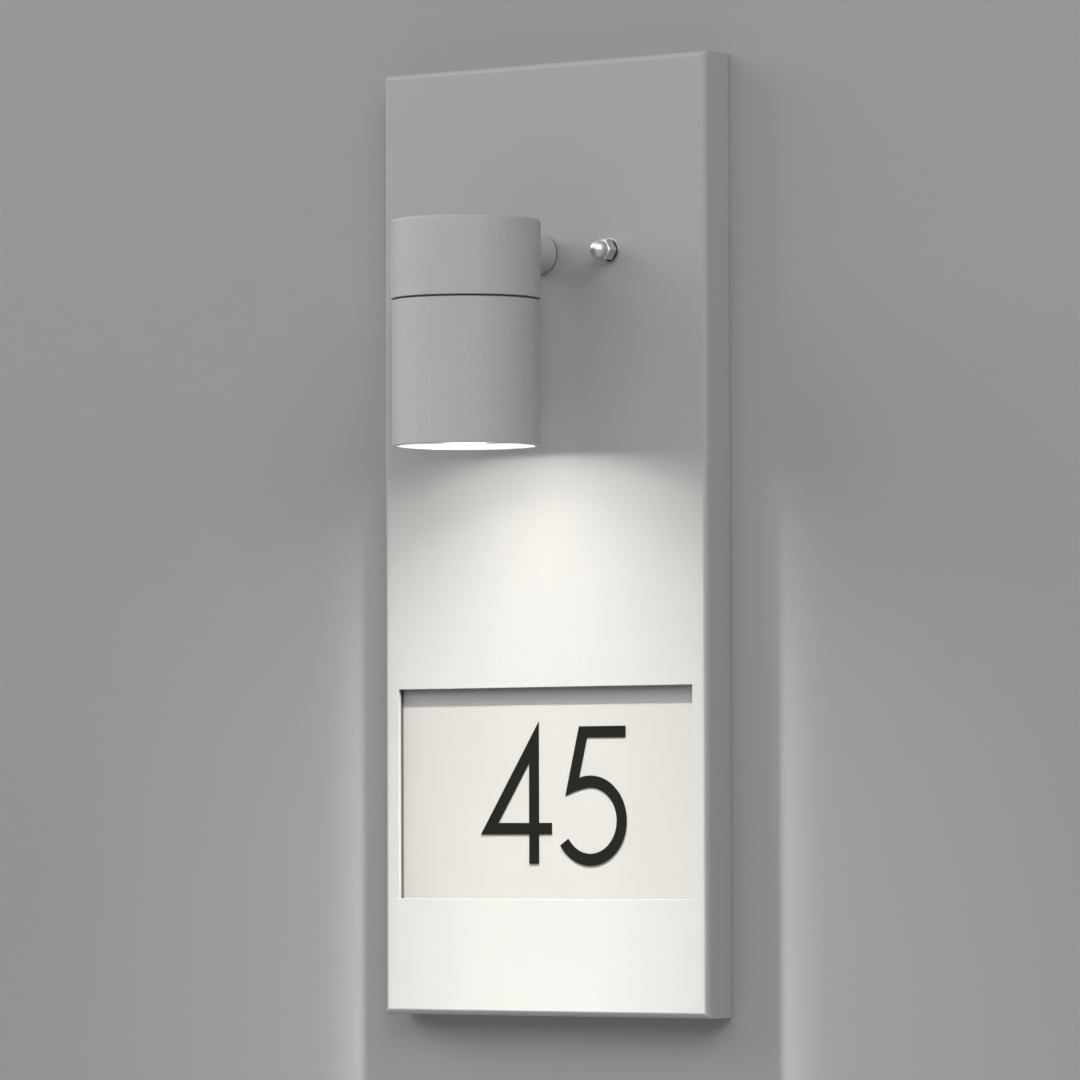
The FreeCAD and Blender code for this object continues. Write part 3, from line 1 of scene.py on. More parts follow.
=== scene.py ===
"""Looks of the illuminated house number sign: camera, stage, lights, materials and fine detail.

Lengths are in metres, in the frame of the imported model: +Z up, -Y towards the viewer, wall at y = 0.
"""
import json
import math

import bmesh
import bpy
from mathutils import Matrix, Vector


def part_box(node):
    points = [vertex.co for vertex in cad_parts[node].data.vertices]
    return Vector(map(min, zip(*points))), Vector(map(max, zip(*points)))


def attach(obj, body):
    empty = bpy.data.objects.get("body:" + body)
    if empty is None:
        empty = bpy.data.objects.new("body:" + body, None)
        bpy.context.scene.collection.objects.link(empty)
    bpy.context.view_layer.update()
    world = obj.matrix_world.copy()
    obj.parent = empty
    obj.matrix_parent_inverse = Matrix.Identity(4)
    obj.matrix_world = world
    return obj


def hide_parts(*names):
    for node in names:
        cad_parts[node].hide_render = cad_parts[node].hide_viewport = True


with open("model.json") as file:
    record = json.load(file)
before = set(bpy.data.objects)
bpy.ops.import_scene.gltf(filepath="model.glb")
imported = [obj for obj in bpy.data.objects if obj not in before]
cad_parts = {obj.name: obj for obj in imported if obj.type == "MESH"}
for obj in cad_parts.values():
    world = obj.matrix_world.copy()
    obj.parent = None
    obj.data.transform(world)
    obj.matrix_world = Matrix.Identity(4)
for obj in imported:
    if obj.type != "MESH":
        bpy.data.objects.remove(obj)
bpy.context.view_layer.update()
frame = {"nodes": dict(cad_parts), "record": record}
NODES = frame["nodes"]
MM = 0.001

# ---------------------------------------------------------------- camera

CAMERA_PLACE = (1.880, -2.468, -0.2395)
CAMERA_YAW = 37.5         # degrees, as are pitch and roll
CAMERA_PITCH = 2.26
CAMERA_ROLL = -0.14
CAMERA_LENS = 250.72      # millimetres, as is the sensor
CAMERA_SENSOR = 36.0
CAMERA_FAR = 100.0


def make_camera():
    """Looks at the sign from its right and slightly from below, through a long lens."""
    yaw = math.radians(CAMERA_YAW)
    pitch = math.radians(CAMERA_PITCH)
    roll = math.radians(CAMERA_ROLL)
    ahead = Vector((-math.sin(yaw) * math.cos(pitch), math.cos(yaw) * math.cos(pitch), math.sin(pitch)))
    right = Vector((math.cos(yaw), math.sin(yaw), 0.0))
    up = right.cross(ahead)
    side = math.cos(roll) * right + math.sin(roll) * up
    top = math.cos(roll) * up - math.sin(roll) * right
    data = bpy.data.cameras.new("camera")
    data.lens = CAMERA_LENS
    data.sensor_fit = "HORIZONTAL"
    data.sensor_width = CAMERA_SENSOR
    data.clip_end = CAMERA_FAR
    camera = bpy.data.objects.new("camera", data)
    bpy.context.scene.collection.objects.link(camera)
    turn = Matrix((side, top, -ahead)).transposed().to_4x4()
    camera.matrix_world = Matrix.Translation(CAMERA_PLACE) @ turn
    bpy.context.scene.camera = camera


# ---------------------------------------------------------------- node trees

WAVE_SCALE = 0.314159     # wave texture's scale at which its stripes repeat every metre
EDGE_SAMPLES = 4
EDGE_SHARP = (0.88, 0.995)    # cosine of a normal's bend that counts as an edge, and as flat
ROUND_SAMPLES = 6


class Nodes:
    """A node tree of a material, a light or the world, with helpers that add nodes to it."""

    def __init__(self, tree):
        self.tree = tree

    def node(self, kind, **settings):
        made = self.tree.nodes.new("ShaderNode" + kind)
        for key, value in settings.items():
            setattr(made, key, value)
        return made

    def feed(self, socket, value):
        """Links an output to the socket, or sets the socket to a plain value."""
        if isinstance(value, bpy.types.NodeSocket):
            self.tree.links.new(value, socket)
        else:
            socket.default_value = value

    def combine(self, operation, first, second):
        """Result of a sum on two values."""
        made = self.node("Math", operation=operation)
        self.feed(made.inputs[0], first)
        self.feed(made.inputs[1], second)
        return made.outputs[0]

    def spread(self, value, low, high, start=0.0, end=1.0, interpolation="LINEAR"):
        """Maps value from start..end to low..high."""
        made = self.node("MapRange", interpolation_type=interpolation)
        self.feed(made.inputs["Value"], value)
        made.inputs["From Min"].default_value = start
        made.inputs["From Max"].default_value = end
        made.inputs["To Min"].default_value = low
        made.inputs["To Max"].default_value = high
        return made.outputs["Result"]


class Graph(Nodes):
    """A material whose surface is one Principled shader, fed by the nodes in front of it."""

    def __init__(self, name):
        self.material = bpy.data.materials.new(name)
        self.material.use_nodes = True
        super().__init__(self.material.node_tree)
        self.shader = self.tree.nodes["Principled BSDF"]
        self.output = self.tree.nodes["Material Output"]
        self.place = self.node("TexCoord").outputs["Object"]

    def set(self, **values):
        """Sets or feeds the shader's own sockets: base_color becomes Base Color."""
        for key, value in values.items():
            name = key.replace("_", " ").title().replace("Ior", "IOR")
            self.feed(self.shader.inputs[name], value)

    def stretched(self, scale):
        """The object's coordinates, scaled by (x, y, z)."""
        made = self.node("Mapping")
        self.feed(made.inputs["Vector"], self.place)
        made.inputs["Scale"].default_value = scale
        return made.outputs["Vector"]

    def noise(self, size, detail=2.0, roughness=0.5, vector=None):
        """Noise whose grains are about size metres across."""
        made = self.node("TexNoise")
        self.feed(made.inputs["Vector"], vector or self.place)
        made.inputs["Scale"].default_value = 1.0 / size
        made.inputs["Detail"].default_value = detail
        made.inputs["Roughness"].default_value = roughness
        return made.outputs["Fac"]

    def cells(self, size):
        """Distance to the nearest of scattered points, about size metres apart."""
        made = self.node("TexVoronoi", feature="F1")
        self.feed(made.inputs["Vector"], self.place)
        made.inputs["Scale"].default_value = 1.0 / size
        return made.outputs["Distance"]

    def stripes(self, size, distortion=0.0, vector=None):
        """Smooth slanting stripes that repeat every size metres."""
        made = self.node("TexWave", bands_direction="DIAGONAL")
        self.feed(made.inputs["Vector"], vector or self.place)
        made.inputs["Scale"].default_value = WAVE_SCALE / size
        made.inputs["Distortion"].default_value = distortion
        return made.outputs["Fac"]

    def blend(self, share, first, second):
        """A colour between first and second."""
        made = self.node("Mix", data_type="RGBA")
        self.feed(made.inputs["Factor"], share)
        for socket, colour in zip((made.inputs[6], made.inputs[7]), (first, second)):
            self.feed(socket, colour if isinstance(colour, bpy.types.NodeSocket) else (*colour[:3], 1.0))
        return made.outputs[2]

    def tones(self, share, colour, first, second):
        """The colour times first where share is 0, and times second where it is 1."""
        return self.blend(share, shade_of(colour, first), shade_of(colour, second))

    def tinted(self, base, where, share, colour):
        """The base, with a share of a colour where a value is 1."""
        return self.blend(self.combine("MULTIPLY", where, share), base, colour)

    def edges(self, radius):
        """1 on edges and corners that are sharper than radius, 0 on flats."""
        rounded = self.node("Bevel", samples=EDGE_SAMPLES)
        rounded.inputs["Radius"].default_value = radius
        flat = self.node("NewGeometry").outputs["Normal"]
        dot = self.node("VectorMath", operation="DOT_PRODUCT")
        self.feed(dot.inputs[0], rounded.outputs["Normal"])
        self.feed(dot.inputs[1], flat)
        return self.spread(dot.outputs["Value"], 1.0, 0.0, *EDGE_SHARP)

    def rounded(self, radius):
        """Normals that bend over each edge as if it had this radius."""
        made = self.node("Bevel", samples=ROUND_SAMPLES)
        made.inputs["Radius"].default_value = radius
        return made.outputs["Normal"]

    def bump(self, height, depth, strength, under=None):
        """Raises the surface by up to depth metres where height is 1."""
        made = self.node("Bump")
        self.feed(made.inputs["Height"], height)
        made.inputs["Distance"].default_value = depth
        made.inputs["Strength"].default_value = strength
        if under is not None:
            self.feed(made.inputs["Normal"], under)
        self.feed(self.shader.inputs["Normal"], made.outputs["Normal"])
        return made.outputs["Normal"]

    def clear_where(self, share, colour=(1.0, 1.0, 1.0, 1.0)):
        """Lets light straight through, in a colour, where share is 1."""
        clear = self.node("BsdfTransparent")
        clear.inputs["Color"].default_value = colour
        mix = self.node("MixShader")
        self.feed(mix.inputs["Fac"], share)
        self.feed(mix.inputs[1], self.shader.outputs[0])
        self.feed(mix.inputs[2], clear.outputs[0])
        self.feed(self.output.inputs["Surface"], mix.outputs[0])


def shade_of(colour, factor):
    return tuple(channel * factor for channel in colour[:3])


# ---------------------------------------------------------------- materials

COAT_CLOUDS = 45 * MM     # size of the faint patches in paint
COAT_EDGE = 0.5 * MM      # width of the painted highlight along edges
COAT_ROUND = 0.2 * MM     # radius that the coat gives to sharp edges
FLAKE_APART = 3.2         # pitch of the flakes and of the orange peel, in grains
PEEL_APART = 6
METAL_PATCHES = 6 * MM
METAL_EDGE = 0.25 * MM
METAL_ROUND = 0.15 * MM
MOULD_CLOUDS = 18 * MM
MOULD_EDGE = 0.3 * MM
MOULD_ROUND = 0.2 * MM
FINE_RELIEF = 0.01 * MM
LIGHT_INSIDE = 1.5 * MM   # how far light travels inside pale plastic
DUST = (0.45, 0.43, 0.40)


def powder_coat(name, colour, grain, speckle, depth, flakes):
    """Fine-textured powder coat: grains, scattered pale flakes, slight clouding, and a painted highlight
    along its edges.
    """
    graph = Graph(name)
    grains = graph.noise(grain, detail=3.0, roughness=0.7)
    clouds = graph.noise(COAT_CLOUDS)
    fine = graph.tones(grains, colour, 1.0 - speckle, 1.0 + speckle)
    soft = graph.blend(graph.spread(clouds, 0.0, 0.35, start=0.35, end=0.75), fine, shade_of(colour, 1.05))
    specks = graph.spread(graph.cells(grain * FLAKE_APART), flakes, 0.0, start=0.05, end=0.22)
    flaky = graph.blend(specks, soft, shade_of(colour, 1.6))
    # painted highlight: edges tinted paler, as where light catches them
    coat_with_painted_highlight = graph.tinted(flaky, graph.edges(COAT_EDGE), 0.22, shade_of(colour, 1.45))
    graph.set(base_color=coat_with_painted_highlight, roughness=graph.spread(grains, 0.42, 0.62), specular_ior_level=0.35)
    peel = graph.noise(grain * PEEL_APART, detail=1.0)
    orange_peel = graph.bump(peel, depth * 1.5, strength=0.35, under=graph.rounded(COAT_ROUND))
    graph.bump(grains, depth, strength=0.5, under=orange_peel)
    return graph.material


def metal(name, colour, roughness, grain, streak=(1.0, 1.0, 1.0), tarnish=None):
    """Bare or plated metal: drawn or turned streaks, cloudy roughness, a little tarnish in patches and a
    painted highlight along its edges.
    """
    graph = Graph(name)
    streaks = graph.noise(grain, detail=4.0, roughness=0.65, vector=graph.stretched(streak))
    patches = graph.noise(METAL_PATCHES, detail=3.0)
    base = graph.tones(streaks, colour, 0.90, 1.06)
    stained = graph.spread(patches, 0.0, 0.55, start=0.45, end=0.8)
    aged = graph.blend(stained, base, tarnish or shade_of(colour, 0.8))
    # painted highlight: edges tinted brighter, as a glint
    metal_with_painted_highlight = graph.tinted(aged, graph.edges(METAL_EDGE), 0.4, shade_of(colour, 1.25))
    graph.set(base_color=metal_with_painted_highlight, metallic=1.0)
    graph.set(roughness=graph.spread(patches, roughness - 0.06, roughness + 0.12))
    graph.bump(streaks, FINE_RELIEF, strength=0.35, under=graph.rounded(METAL_ROUND))
    return graph.material


def moulded(name, colour, roughness, grain, depth, subsurface=0.0, dust=0.0):
    """Moulded plastic, rubber or ceramic: fine skin texture, soft mottling, dusty patches and a painted
    highlight along its edges.
    """
    graph = Graph(name)
    skin = graph.noise(grain, detail=3.0, roughness=0.6)
    clouds = graph.noise(MOULD_CLOUDS)
    base = graph.tones(graph.spread(clouds, 0.0, 1.0, start=0.3, end=0.7), colour, 0.93, 1.05)
    dusty = graph.blend(graph.spread(clouds, 0.0, dust, start=0.45, end=0.8), base, DUST)
    # painted highlight: edges tinted paler, as where light catches them
    mould_with_painted_highlight = graph.tinted(dusty, graph.edges(MOULD_EDGE), 0.18, shade_of(colour, 1.6))
    graph.set(base_color=mould_with_painted_highlight, roughness=graph.spread(skin, roughness - 0.07, roughness + 0.07))
    graph.set(subsurface_weight=subsurface, subsurface_scale=LIGHT_INSIDE)
    graph.bump(skin, depth, strength=0.5, under=graph.rounded(MOULD_ROUND))
    return graph.material


def closed_cell_foam(name, colour, pore, depth):
    """Foam strip: round cells cut open at its faces, painted darker in each cell's hollow as shade."""
    graph = Graph(name)
    pores = graph.cells(pore)
    # painted shade: darker at the middle of each pore, where its hollow is deepest
    graph.set(base_color=graph.tones(pores, colour, 0.6, 2.2), roughness=0.92)
    graph.bump(pores, depth, strength=0.8)
    return graph.material


def cut_film(name, colour, grain, speck_pitch, speck_colour):
    """Matt vinyl film: even colour, faint grain and a few specks."""
    graph = Graph(name)
    grains = graph.noise(grain, detail=3.0, roughness=0.7)
    specks = graph.spread(graph.cells(speck_pitch), 1.0, 0.0, start=0.03, end=0.06)
    graph.set(base_color=graph.tinted(graph.tones(grains, colour, 0.85, 1.25), specks, 0.25, speck_colour))
    graph.set(roughness=graph.spread(grains, 0.48, 0.62), specular_ior_level=0.04)
    graph.bump(grains, FINE_RELIEF, strength=0.4)
    return graph.material


def braid(name, colour, yarn, fibre, depth):
    """Braided glass-fibre sleeve: two sets of crossing yarns, painted darker in the dips between them as
    shade.
    """
    graph = Graph(name)
    one = graph.stripes(yarn, distortion=0.4)
    other = graph.stripes(yarn, distortion=0.4, vector=graph.stretched((-1.0, 1.0, 1.0)))
    yarns = graph.combine("MAXIMUM", one, other)
    fibres = graph.noise(fibre, detail=3.0, roughness=0.8)
    # painted shade: darker in the dips between the yarns
    base = graph.tones(yarns, colour, 0.62, 1.05)
    graph.set(base_color=graph.tinted(base, fibres, 0.3, shade_of(colour, 0.8)))
    graph.set(roughness=0.85, sheen_weight=0.25)
    graph.bump(yarns, depth, strength=0.8)
    return graph.material


def striped_insulation(name, green, yellow, pitch, grain, depth):
    """Earth wire: green insulation with two yellow stripes."""
    graph = Graph(name)
    stripes = graph.spread(graph.stripes(pitch), 0.0, 1.0, start=0.60, end=0.66)
    skin = graph.noise(grain)
    graph.set(base_color=graph.tinted(graph.blend(stripes, green, yellow), skin, 0.15, (0.1, 0.1, 0.05)))
    graph.set(roughness=graph.spread(skin, 0.32, 0.46))
    graph.bump(skin, depth, strength=0.4)
    return graph.material


def lamp_front(name, colour, glow, glow_colour, grain, depth):
    """Frosted lens of the lamp, lit from inside: brightest where it faces straight out."""
    graph = Graph(name)
    frost = graph.noise(grain, detail=3.0)
    facing = graph.node("SeparateXYZ")
    graph.feed(facing.inputs[0], graph.node("TexCoord").outputs["Normal"])
    even = graph.spread(facing.outputs["Z"], 1.0, 0.45, start=-1.0, end=-0.8)
    graph.set(base_color=graph.tones(frost, colour, 1.0, 0.85), roughness=0.35)
    graph.set(emission_color=(*glow_colour, 1.0))
    graph.set(emission_strength=graph.combine("MULTIPLY", even, graph.spread(frost, glow, glow * 0.85)))
    graph.bump(frost, depth, strength=0.4)
    return graph.material


def window_glass(name, colour, shadow, smear, depth):
    """Clear glass that lets the lamp's light through; faint dust shows on it."""
    graph = Graph(name)
    smears = graph.noise(smear, detail=3.0)
    graph.set(base_color=(*colour, 1.0), transmission_weight=1.0, ior=1.5)
    graph.set(roughness=graph.spread(smears, 0.0, 0.08, start=0.45, end=0.8))
    graph.bump(smears, depth, strength=0.2)
    graph.clear_where(graph.node("LightPath").outputs["Is Shadow Ray"], (*shadow, 1.0))
    return graph.material


FINISHES = {
    "plate_paint": (powder_coat, dict(
        colour=(0.360, 0.360, 0.360), grain=0.35 * MM, speckle=0.07, depth=0.02 * MM, flakes=0.12)),
    "panel_paint": (powder_coat, dict(
        colour=(0.368, 0.364, 0.356), grain=0.35 * MM, speckle=0.05, depth=0.02 * MM, flakes=0.08)),
    "head_paint": (powder_coat, dict(
        colour=(0.430, 0.430, 0.428), grain=0.50 * MM, speckle=0.16, depth=0.03 * MM, flakes=0.40)),
    "digit_film": (cut_film, dict(
        colour=(0.0075, 0.0075, 0.0070), grain=0.25 * MM, speck_pitch=5 * MM,
        speck_colour=(0.10, 0.10, 0.10))),
    "foam": (closed_cell_foam, dict(colour=(0.045, 0.044, 0.042), pore=0.45 * MM, depth=0.12 * MM)),
    "zinc_steel": (metal, dict(
        colour=(0.60, 0.62, 0.64), roughness=0.36, grain=0.5 * MM, tarnish=(0.52, 0.53, 0.50))),
    "stainless_steel": (metal, dict(
        colour=(0.62, 0.61, 0.60), roughness=0.40, grain=0.3 * MM, streak=(1.0, 6.0, 1.0))),
    "black_rubber": (moulded, dict(
        colour=(0.018, 0.018, 0.019), roughness=0.68, grain=0.3 * MM, depth=0.03 * MM, dust=0.06)),
    "box_plastic": (moulded, dict(
        colour=(0.060, 0.062, 0.066), roughness=0.52, grain=0.4 * MM, depth=0.03 * MM, dust=0.05)),
    "block_plastic": (moulded, dict(
        colour=(0.76, 0.75, 0.70), roughness=0.38, grain=0.5 * MM, depth=0.01 * MM, subsurface=0.12)),
    "brass": (metal, dict(
        colour=(0.72, 0.55, 0.27), roughness=0.28, grain=0.3 * MM, tarnish=(0.45, 0.33, 0.18))),
    "tinned_copper": (metal, dict(colour=(0.66, 0.65, 0.62), roughness=0.30, grain=0.3 * MM)),
    "earth_wire": (striped_insulation, dict(
        green=(0.05, 0.26, 0.04), yellow=(0.72, 0.62, 0.04), pitch=3.4 * MM, grain=0.3 * MM,
        depth=0.02 * MM)),
    "sleeve": (braid, dict(colour=(0.70, 0.68, 0.60), yarn=1.1 * MM, fibre=0.2 * MM, depth=0.18 * MM)),
    "core_insulation": (moulded, dict(
        colour=(0.75, 0.72, 0.66), roughness=0.45, grain=0.4 * MM, depth=0.02 * MM, subsurface=0.10)),
    "steatite": (moulded, dict(
        colour=(0.80, 0.76, 0.68), roughness=0.55, grain=0.35 * MM, depth=0.04 * MM, subsurface=0.06,
        dust=0.05)),
    "lamp_metal": (metal, dict(colour=(0.74, 0.74, 0.74), roughness=0.42, grain=0.6 * MM)),
    "led_board": (moulded, dict(colour=(0.86, 0.86, 0.85), roughness=0.40, grain=0.5 * MM, depth=0.01 * MM)),
    "lamp_lens": (lamp_front, dict(
        colour=(0.90, 0.88, 0.82), glow=1.5, glow_colour=(1.0, 0.93, 0.84), grain=0.8 * MM, depth=0.05 * MM)),
    "pin_metal": (metal, dict(colour=(0.70, 0.70, 0.69), roughness=0.30, grain=0.2 * MM)),
    "clear_glass": (window_glass, dict(
        colour=(0.94, 0.96, 0.95), shadow=(0.95, 0.96, 0.95), smear=9 * MM, depth=0.02 * MM)),
    "clear_silicone": (moulded, dict(
        colour=(0.70, 0.70, 0.68), roughness=0.40, grain=0.6 * MM, depth=0.02 * MM, subsurface=0.30)),
}


def make_materials():
    """One material for each of the record's slots."""
    return {slot: make(slot, **looks) for slot, (make, looks) in FINISHES.items()}


def dress_nodes(materials):
    """Gives each CAD node the material of its slot in the record."""
    for row in frame["record"]["subparts"]:
        node = NODES[row["node"]]
        node.data.materials.clear()
        node.data.materials.append(materials[row["material_slot"]])


# ---------------------------------------------------------------- mesh helpers

SOFT_CORNER = 35.0        # degrees; a sharper edge than this stays sharp in the shading
MERGE = 1e-7              # points closer than this become one
MERGE_CAD = 1e-6


def clamped(value):
    return min(1.0, max(0.0, value))


def circle(radius, height, sides):
    """Points of a level circle round the Z axis."""
    turns = [math.tau * side / sides for side in range(sides)]
    return [Vector((radius * math.cos(turn), radius * math.sin(turn), height)) for turn in turns]


def rings_mesh(name, rings, caps=True, corner=SOFT_CORNER):
    """Skin over a row of closed rings of equal length; flat caps close both ends."""
    form = bmesh.new()
    rows = [[form.verts.new(point) for point in ring] for ring in rings]
    for row, following in zip(rows, rows[1:]):
        for index in range(len(row)):
            after = (index + 1) % len(row)
            form.faces.new((row[index], row[after], following[after], following[index]))
    if caps:
        form.faces.new(list(reversed(rows[0])))
        form.faces.new(rows[-1])
    bmesh.ops.remove_doubles(form, verts=form.verts, dist=MERGE)
    bmesh.ops.recalc_face_normals(form, faces=form.faces)
    mesh = bpy.data.meshes.new(name)
    form.to_mesh(mesh)
    form.free()
    mesh.shade_smooth()
    mesh.set_sharp_from_angle(angle=math.radians(corner))
    return mesh


def loop_mesh(name, profile, steps, corner=SOFT_CORNER):
    """Closed (radius, height) profile turned about the local Z axis."""
    rings = []
    for step in range(steps):
        turn = math.tau * step / steps
        rings.append([Vector((radius * math.cos(turn), radius * math.sin(turn), height))
                      for radius, height in profile])
    return rings_mesh(name, rings + rings[:1], False, corner)


def joined(name, meshes):
    """One mesh out of several."""
    form = bmesh.new()
    for mesh in meshes:
        form.from_mesh(mesh)
        bpy.data.meshes.remove(mesh)
    whole = bpy.data.meshes.new(name)
    form.to_mesh(whole)
    form.free()
    return whole


def along(mesh, foot, direction):
    """Moves a mesh built on the local Z axis to a foot, pointing in a direction."""
    turn = Vector(direction).to_track_quat("Z", "Y").to_matrix().to_4x4()
    mesh.transform(Matrix.Translation(foot) @ turn)
    return mesh


def add_piece(name, meshes, body, slot, materials, *replaced):
    """Joins the meshes into one piece that rides a body, in place of the replaced nodes if any."""
    mesh = joined(name, meshes)
    piece = bpy.data.objects.new(name, mesh)
    bpy.context.scene.collection.objects.link(piece)
    mesh.materials.append(materials[slot])
    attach(piece, body)
    if replaced:
        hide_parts(*replaced)


def box_of(node):
    """Lowest corner, highest corner and middle of a CAD node."""
    low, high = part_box(node)
    return low, high, (low + high) / 2


def solids_of(node):
    """Boxes of a node's separate solids, lowest and highest corner each."""
    form = bmesh.new()
    form.from_mesh(NODES[node].data)
    bmesh.ops.remove_doubles(form, verts=form.verts, dist=MERGE_CAD)
    left = set(form.verts)
    boxes = []
    while left:
        island = {left.pop()}
        edge = set(island)
        while edge:
            near = {other for vert in edge for link in vert.link_edges for other in link.verts} - island
            island |= near
            edge = near
        left -= island
        low = Vector([min(vert.co[axis] for vert in island) for axis in range(3)])
        high = Vector([max(vert.co[axis] for vert in island) for axis in range(3)])
        boxes.append((low, high))
    form.free()
    return sorted(boxes, key=lambda box: tuple(box[0]))


# ---------------------------------------------------------------- threads and screws

THREAD_ROWS = 6           # rings to one pitch
THREAD_SIDES = 28
THREAD_DEPTH = 0.55       # share of the pitch
THREAD_FLANK = 1.35       # steepness of the groove's sides
THREAD_CREST = 0.15       # share of the groove's depth cut off to leave a flat crest


def threaded(name, radius, pitch, length, bore=None):
    """Threaded rod or tube along Z, from 0 to length, chamfered at both ends."""
    depth = THREAD_DEPTH * pitch
    count = max(2, round(length / pitch * THREAD_ROWS))
    rings = []
    for row in range(count + 1):
        height = length * row / count
        end = min(height, length - height)
        ring = []
        for side in range(THREAD_SIDES):
            turn = side / THREAD_SIDES
            wave = abs(2 * ((height / pitch - turn) % 1.0) - 1.0)
            groove = depth * clamped(THREAD_FLANK * wave - THREAD_CREST)
            reach = min(radius - groove, radius - depth + end)
            x, y = reach * math.cos(math.tau * turn), reach * math.sin(math.tau * turn)
            ring.append(Vector((x, y, height)))
        rings.append(ring)
    if bore is None:
        return rings_mesh(name, rings)
    inner = [circle(bore, height, THREAD_SIDES) for height in (length, 0.0)]
    return rings_mesh(name, rings + inner + rings[:1], False)


HEAD_ROWS = 16
HEAD_SIDES = 64
HEAD_RIM = 0.45           # height of the head's rim, as a share of the head's height
HEAD_CORNER = 30.0
RECESS_ARM = 0.62         # cross recess: arm's length and half width as shares of the head's radius
RECESS_HALF = 0.13
RECESS_TAPER = (1.15, 0.4)    # width at the middle, and how much of it is lost along the arm
RECESS_SIDE = 0.05        # run of the recess's sides and of its ends
RECESS_END = 0.08
RECESS_DEPTH = 0.62       # share of the head's height
RECESS_RISE = 0.45        # share of the depth lost along the arm


def pan_head(name, radius, height):
    """Rounded screw head on Z = 0, with a cross recess."""
    rings = [circle(radius, 0.0, HEAD_SIDES)]
    for row in range(HEAD_ROWS):
        share = 1.0 - row / HEAD_ROWS
        ring = []
        for side in range(HEAD_SIDES):
            turn = math.tau * side / HEAD_SIDES
            x, y = share * math.cos(turn), share * math.sin(turn)
            crown = height * (HEAD_RIM + (1.0 - HEAD_RIM) * math.sqrt(max(0.0, 1.0 - share ** 3)))
            short, far = sorted((abs(x), abs(y)))
            half = RECESS_HALF * (RECESS_TAPER[0] - RECESS_TAPER[1] * far / RECESS_ARM)
            inside = clamped((half - short) / RECESS_SIDE) * clamped((RECESS_ARM - far) / RECESS_END)
            sunk = RECESS_DEPTH * height * inside * (1.0 - RECESS_RISE * far / RECESS_ARM)
            ring.append(Vector((radius * x, radius * y, crown - sunk)))
        rings.append(ring)
    return rings_mesh(name, rings, True, HEAD_CORNER)


SMALL_SCREW = (1.25 * MM, 0.45 * MM, 2.3 * MM, 1.4 * MM)    # shank radius, pitch, head radius, head height
LARGE_SCREW = (1.5 * MM, 0.5 * MM, 2.8 * MM, 1.8 * MM)
SCREW_INTO_HEAD = 0.2 * MM    # stretch of the shank inside the head


def add_screws(node, body, slot, materials, axis, sign, sizes):
    """Replaces a node's plain screws, whose heads face along an axis in the direction of the sign."""
    shank_radius, pitch, head_radius, head_height = sizes
    made = []
    for number, (low, high) in enumerate(solids_of(node)):
        name = f"{node}_{number}"
        foot = (low + high) / 2
        foot[axis] = (high[axis] if sign > 0 else low[axis]) - sign * head_height
        direction = Vector((0, 0, 0))
        direction[axis] = sign
        shank = high[axis] - low[axis] - head_height
        head = pan_head(name + "_head", head_radius, head_height)
        rod = threaded(name + "_rod", shank_radius, pitch, shank + SCREW_INTO_HEAD)
        rod.transform(Matrix.Translation((0, 0, -shank)))
        made.append(along(joined(name, [head, rod]), foot, direction))
    add_piece(node + "_cut", made, body, slot, materials, node)


STUD_FLANGE = 1.0 * MM    # thickness of the plain rim at a stud's rear
STUD_FLANGE_BORE = 0.02 * MM
STUD_FLANGE_CHAMFER = 0.15 * MM
STUD_FLANGE_STEPS = 40


def add_studs(node, body, slot, materials, pitch, flanged=None, bore=None):
    """Replaces plain rods along Y with threaded ones; a flanged one has its thread's radius given."""
    made = []
    for number, (low, high) in enumerate(solids_of(node)):
        middle = (low + high) / 2
        outer = (high.x - low.x) / 2
        rod = threaded(f"{node}_{number}", flanged or outer, pitch, high.y - low.y, bore)
        made.append(along(rod, (middle.x, low.y, middle.z), (0, 1, 0)))
        if flanged:
            profile = [(STUD_FLANGE_BORE, 0.0), (outer - STUD_FLANGE_CHAMFER, 0.0),
                       (outer, STUD_FLANGE_CHAMFER), (outer, STUD_FLANGE), (STUD_FLANGE_BORE, STUD_FLANGE)]
            rim = loop_mesh(f"{node}_{number}_flange", profile, STUD_FLANGE_STEPS)
            made.append(along(rim, (middle.x, high.y, middle.z), (0, -1, 0)))
    add_piece(node + "_cut", made, body, slot, materials, node)


def add_fixings(materials):
    """Threads and recesses on the studs, the pivot and the screws."""
    add_studs("panel_studs", "sign", "zinc_steel", materials, 0.5 * MM)
    add_studs("box_studs", "sign", "zinc_steel", materials, 0.5 * MM)
    add_studs("bracket_studs", "sign", "zinc_steel", materials, 0.8 * MM, flanged=2.5 * MM)
    add_studs("arm_nipple", "head", "brass", materials, 1.0 * MM, bore=3.0 * MM)
    add_screws("lid_screws", "sign", "zinc_steel", materials, 1, 1, SMALL_SCREW)
    add_screws("strap_screws", "head", "zinc_steel", materials, 2, -1, LARGE_SCREW)
    add_screws("holder_screws", "head", "zinc_steel", materials, 2, 1, LARGE_SCREW)


# ---------------------------------------------------------------- fins, ribs, beads and eyelets

SUNK = 0.05 * MM          # how far an added form reaches into the piece that carries it

FIN_COUNT = 30
FIN_THICK = 1.0 * MM
FIN_REACH = 0.92          # share of the lamp's cone that the fins cover
FIN_HEIGHT = 1.9 * MM
FIN_PROFILE = (           # shares of the fin's length and of its height
    (0.0, -0.5), (0.0, 0.0), (0.12, 0.75), (0.30, 1.0), (0.75, 1.0), (0.92, 0.7), (1.0, 0.0), (1.0, -0.5))
FIN_SIDES = ((-1.0, 0.03), (-0.7, 0.0), (0.7, 0.0), (1.0, 0.03))    # shares of half its thickness, and insets
FIN_CORNER = 40.0
LAMP_RIM = 8.0 * MM
LAMP_NECK = 15.0 * MM
LAMP_NECK_RADIUS = 17.0 * MM


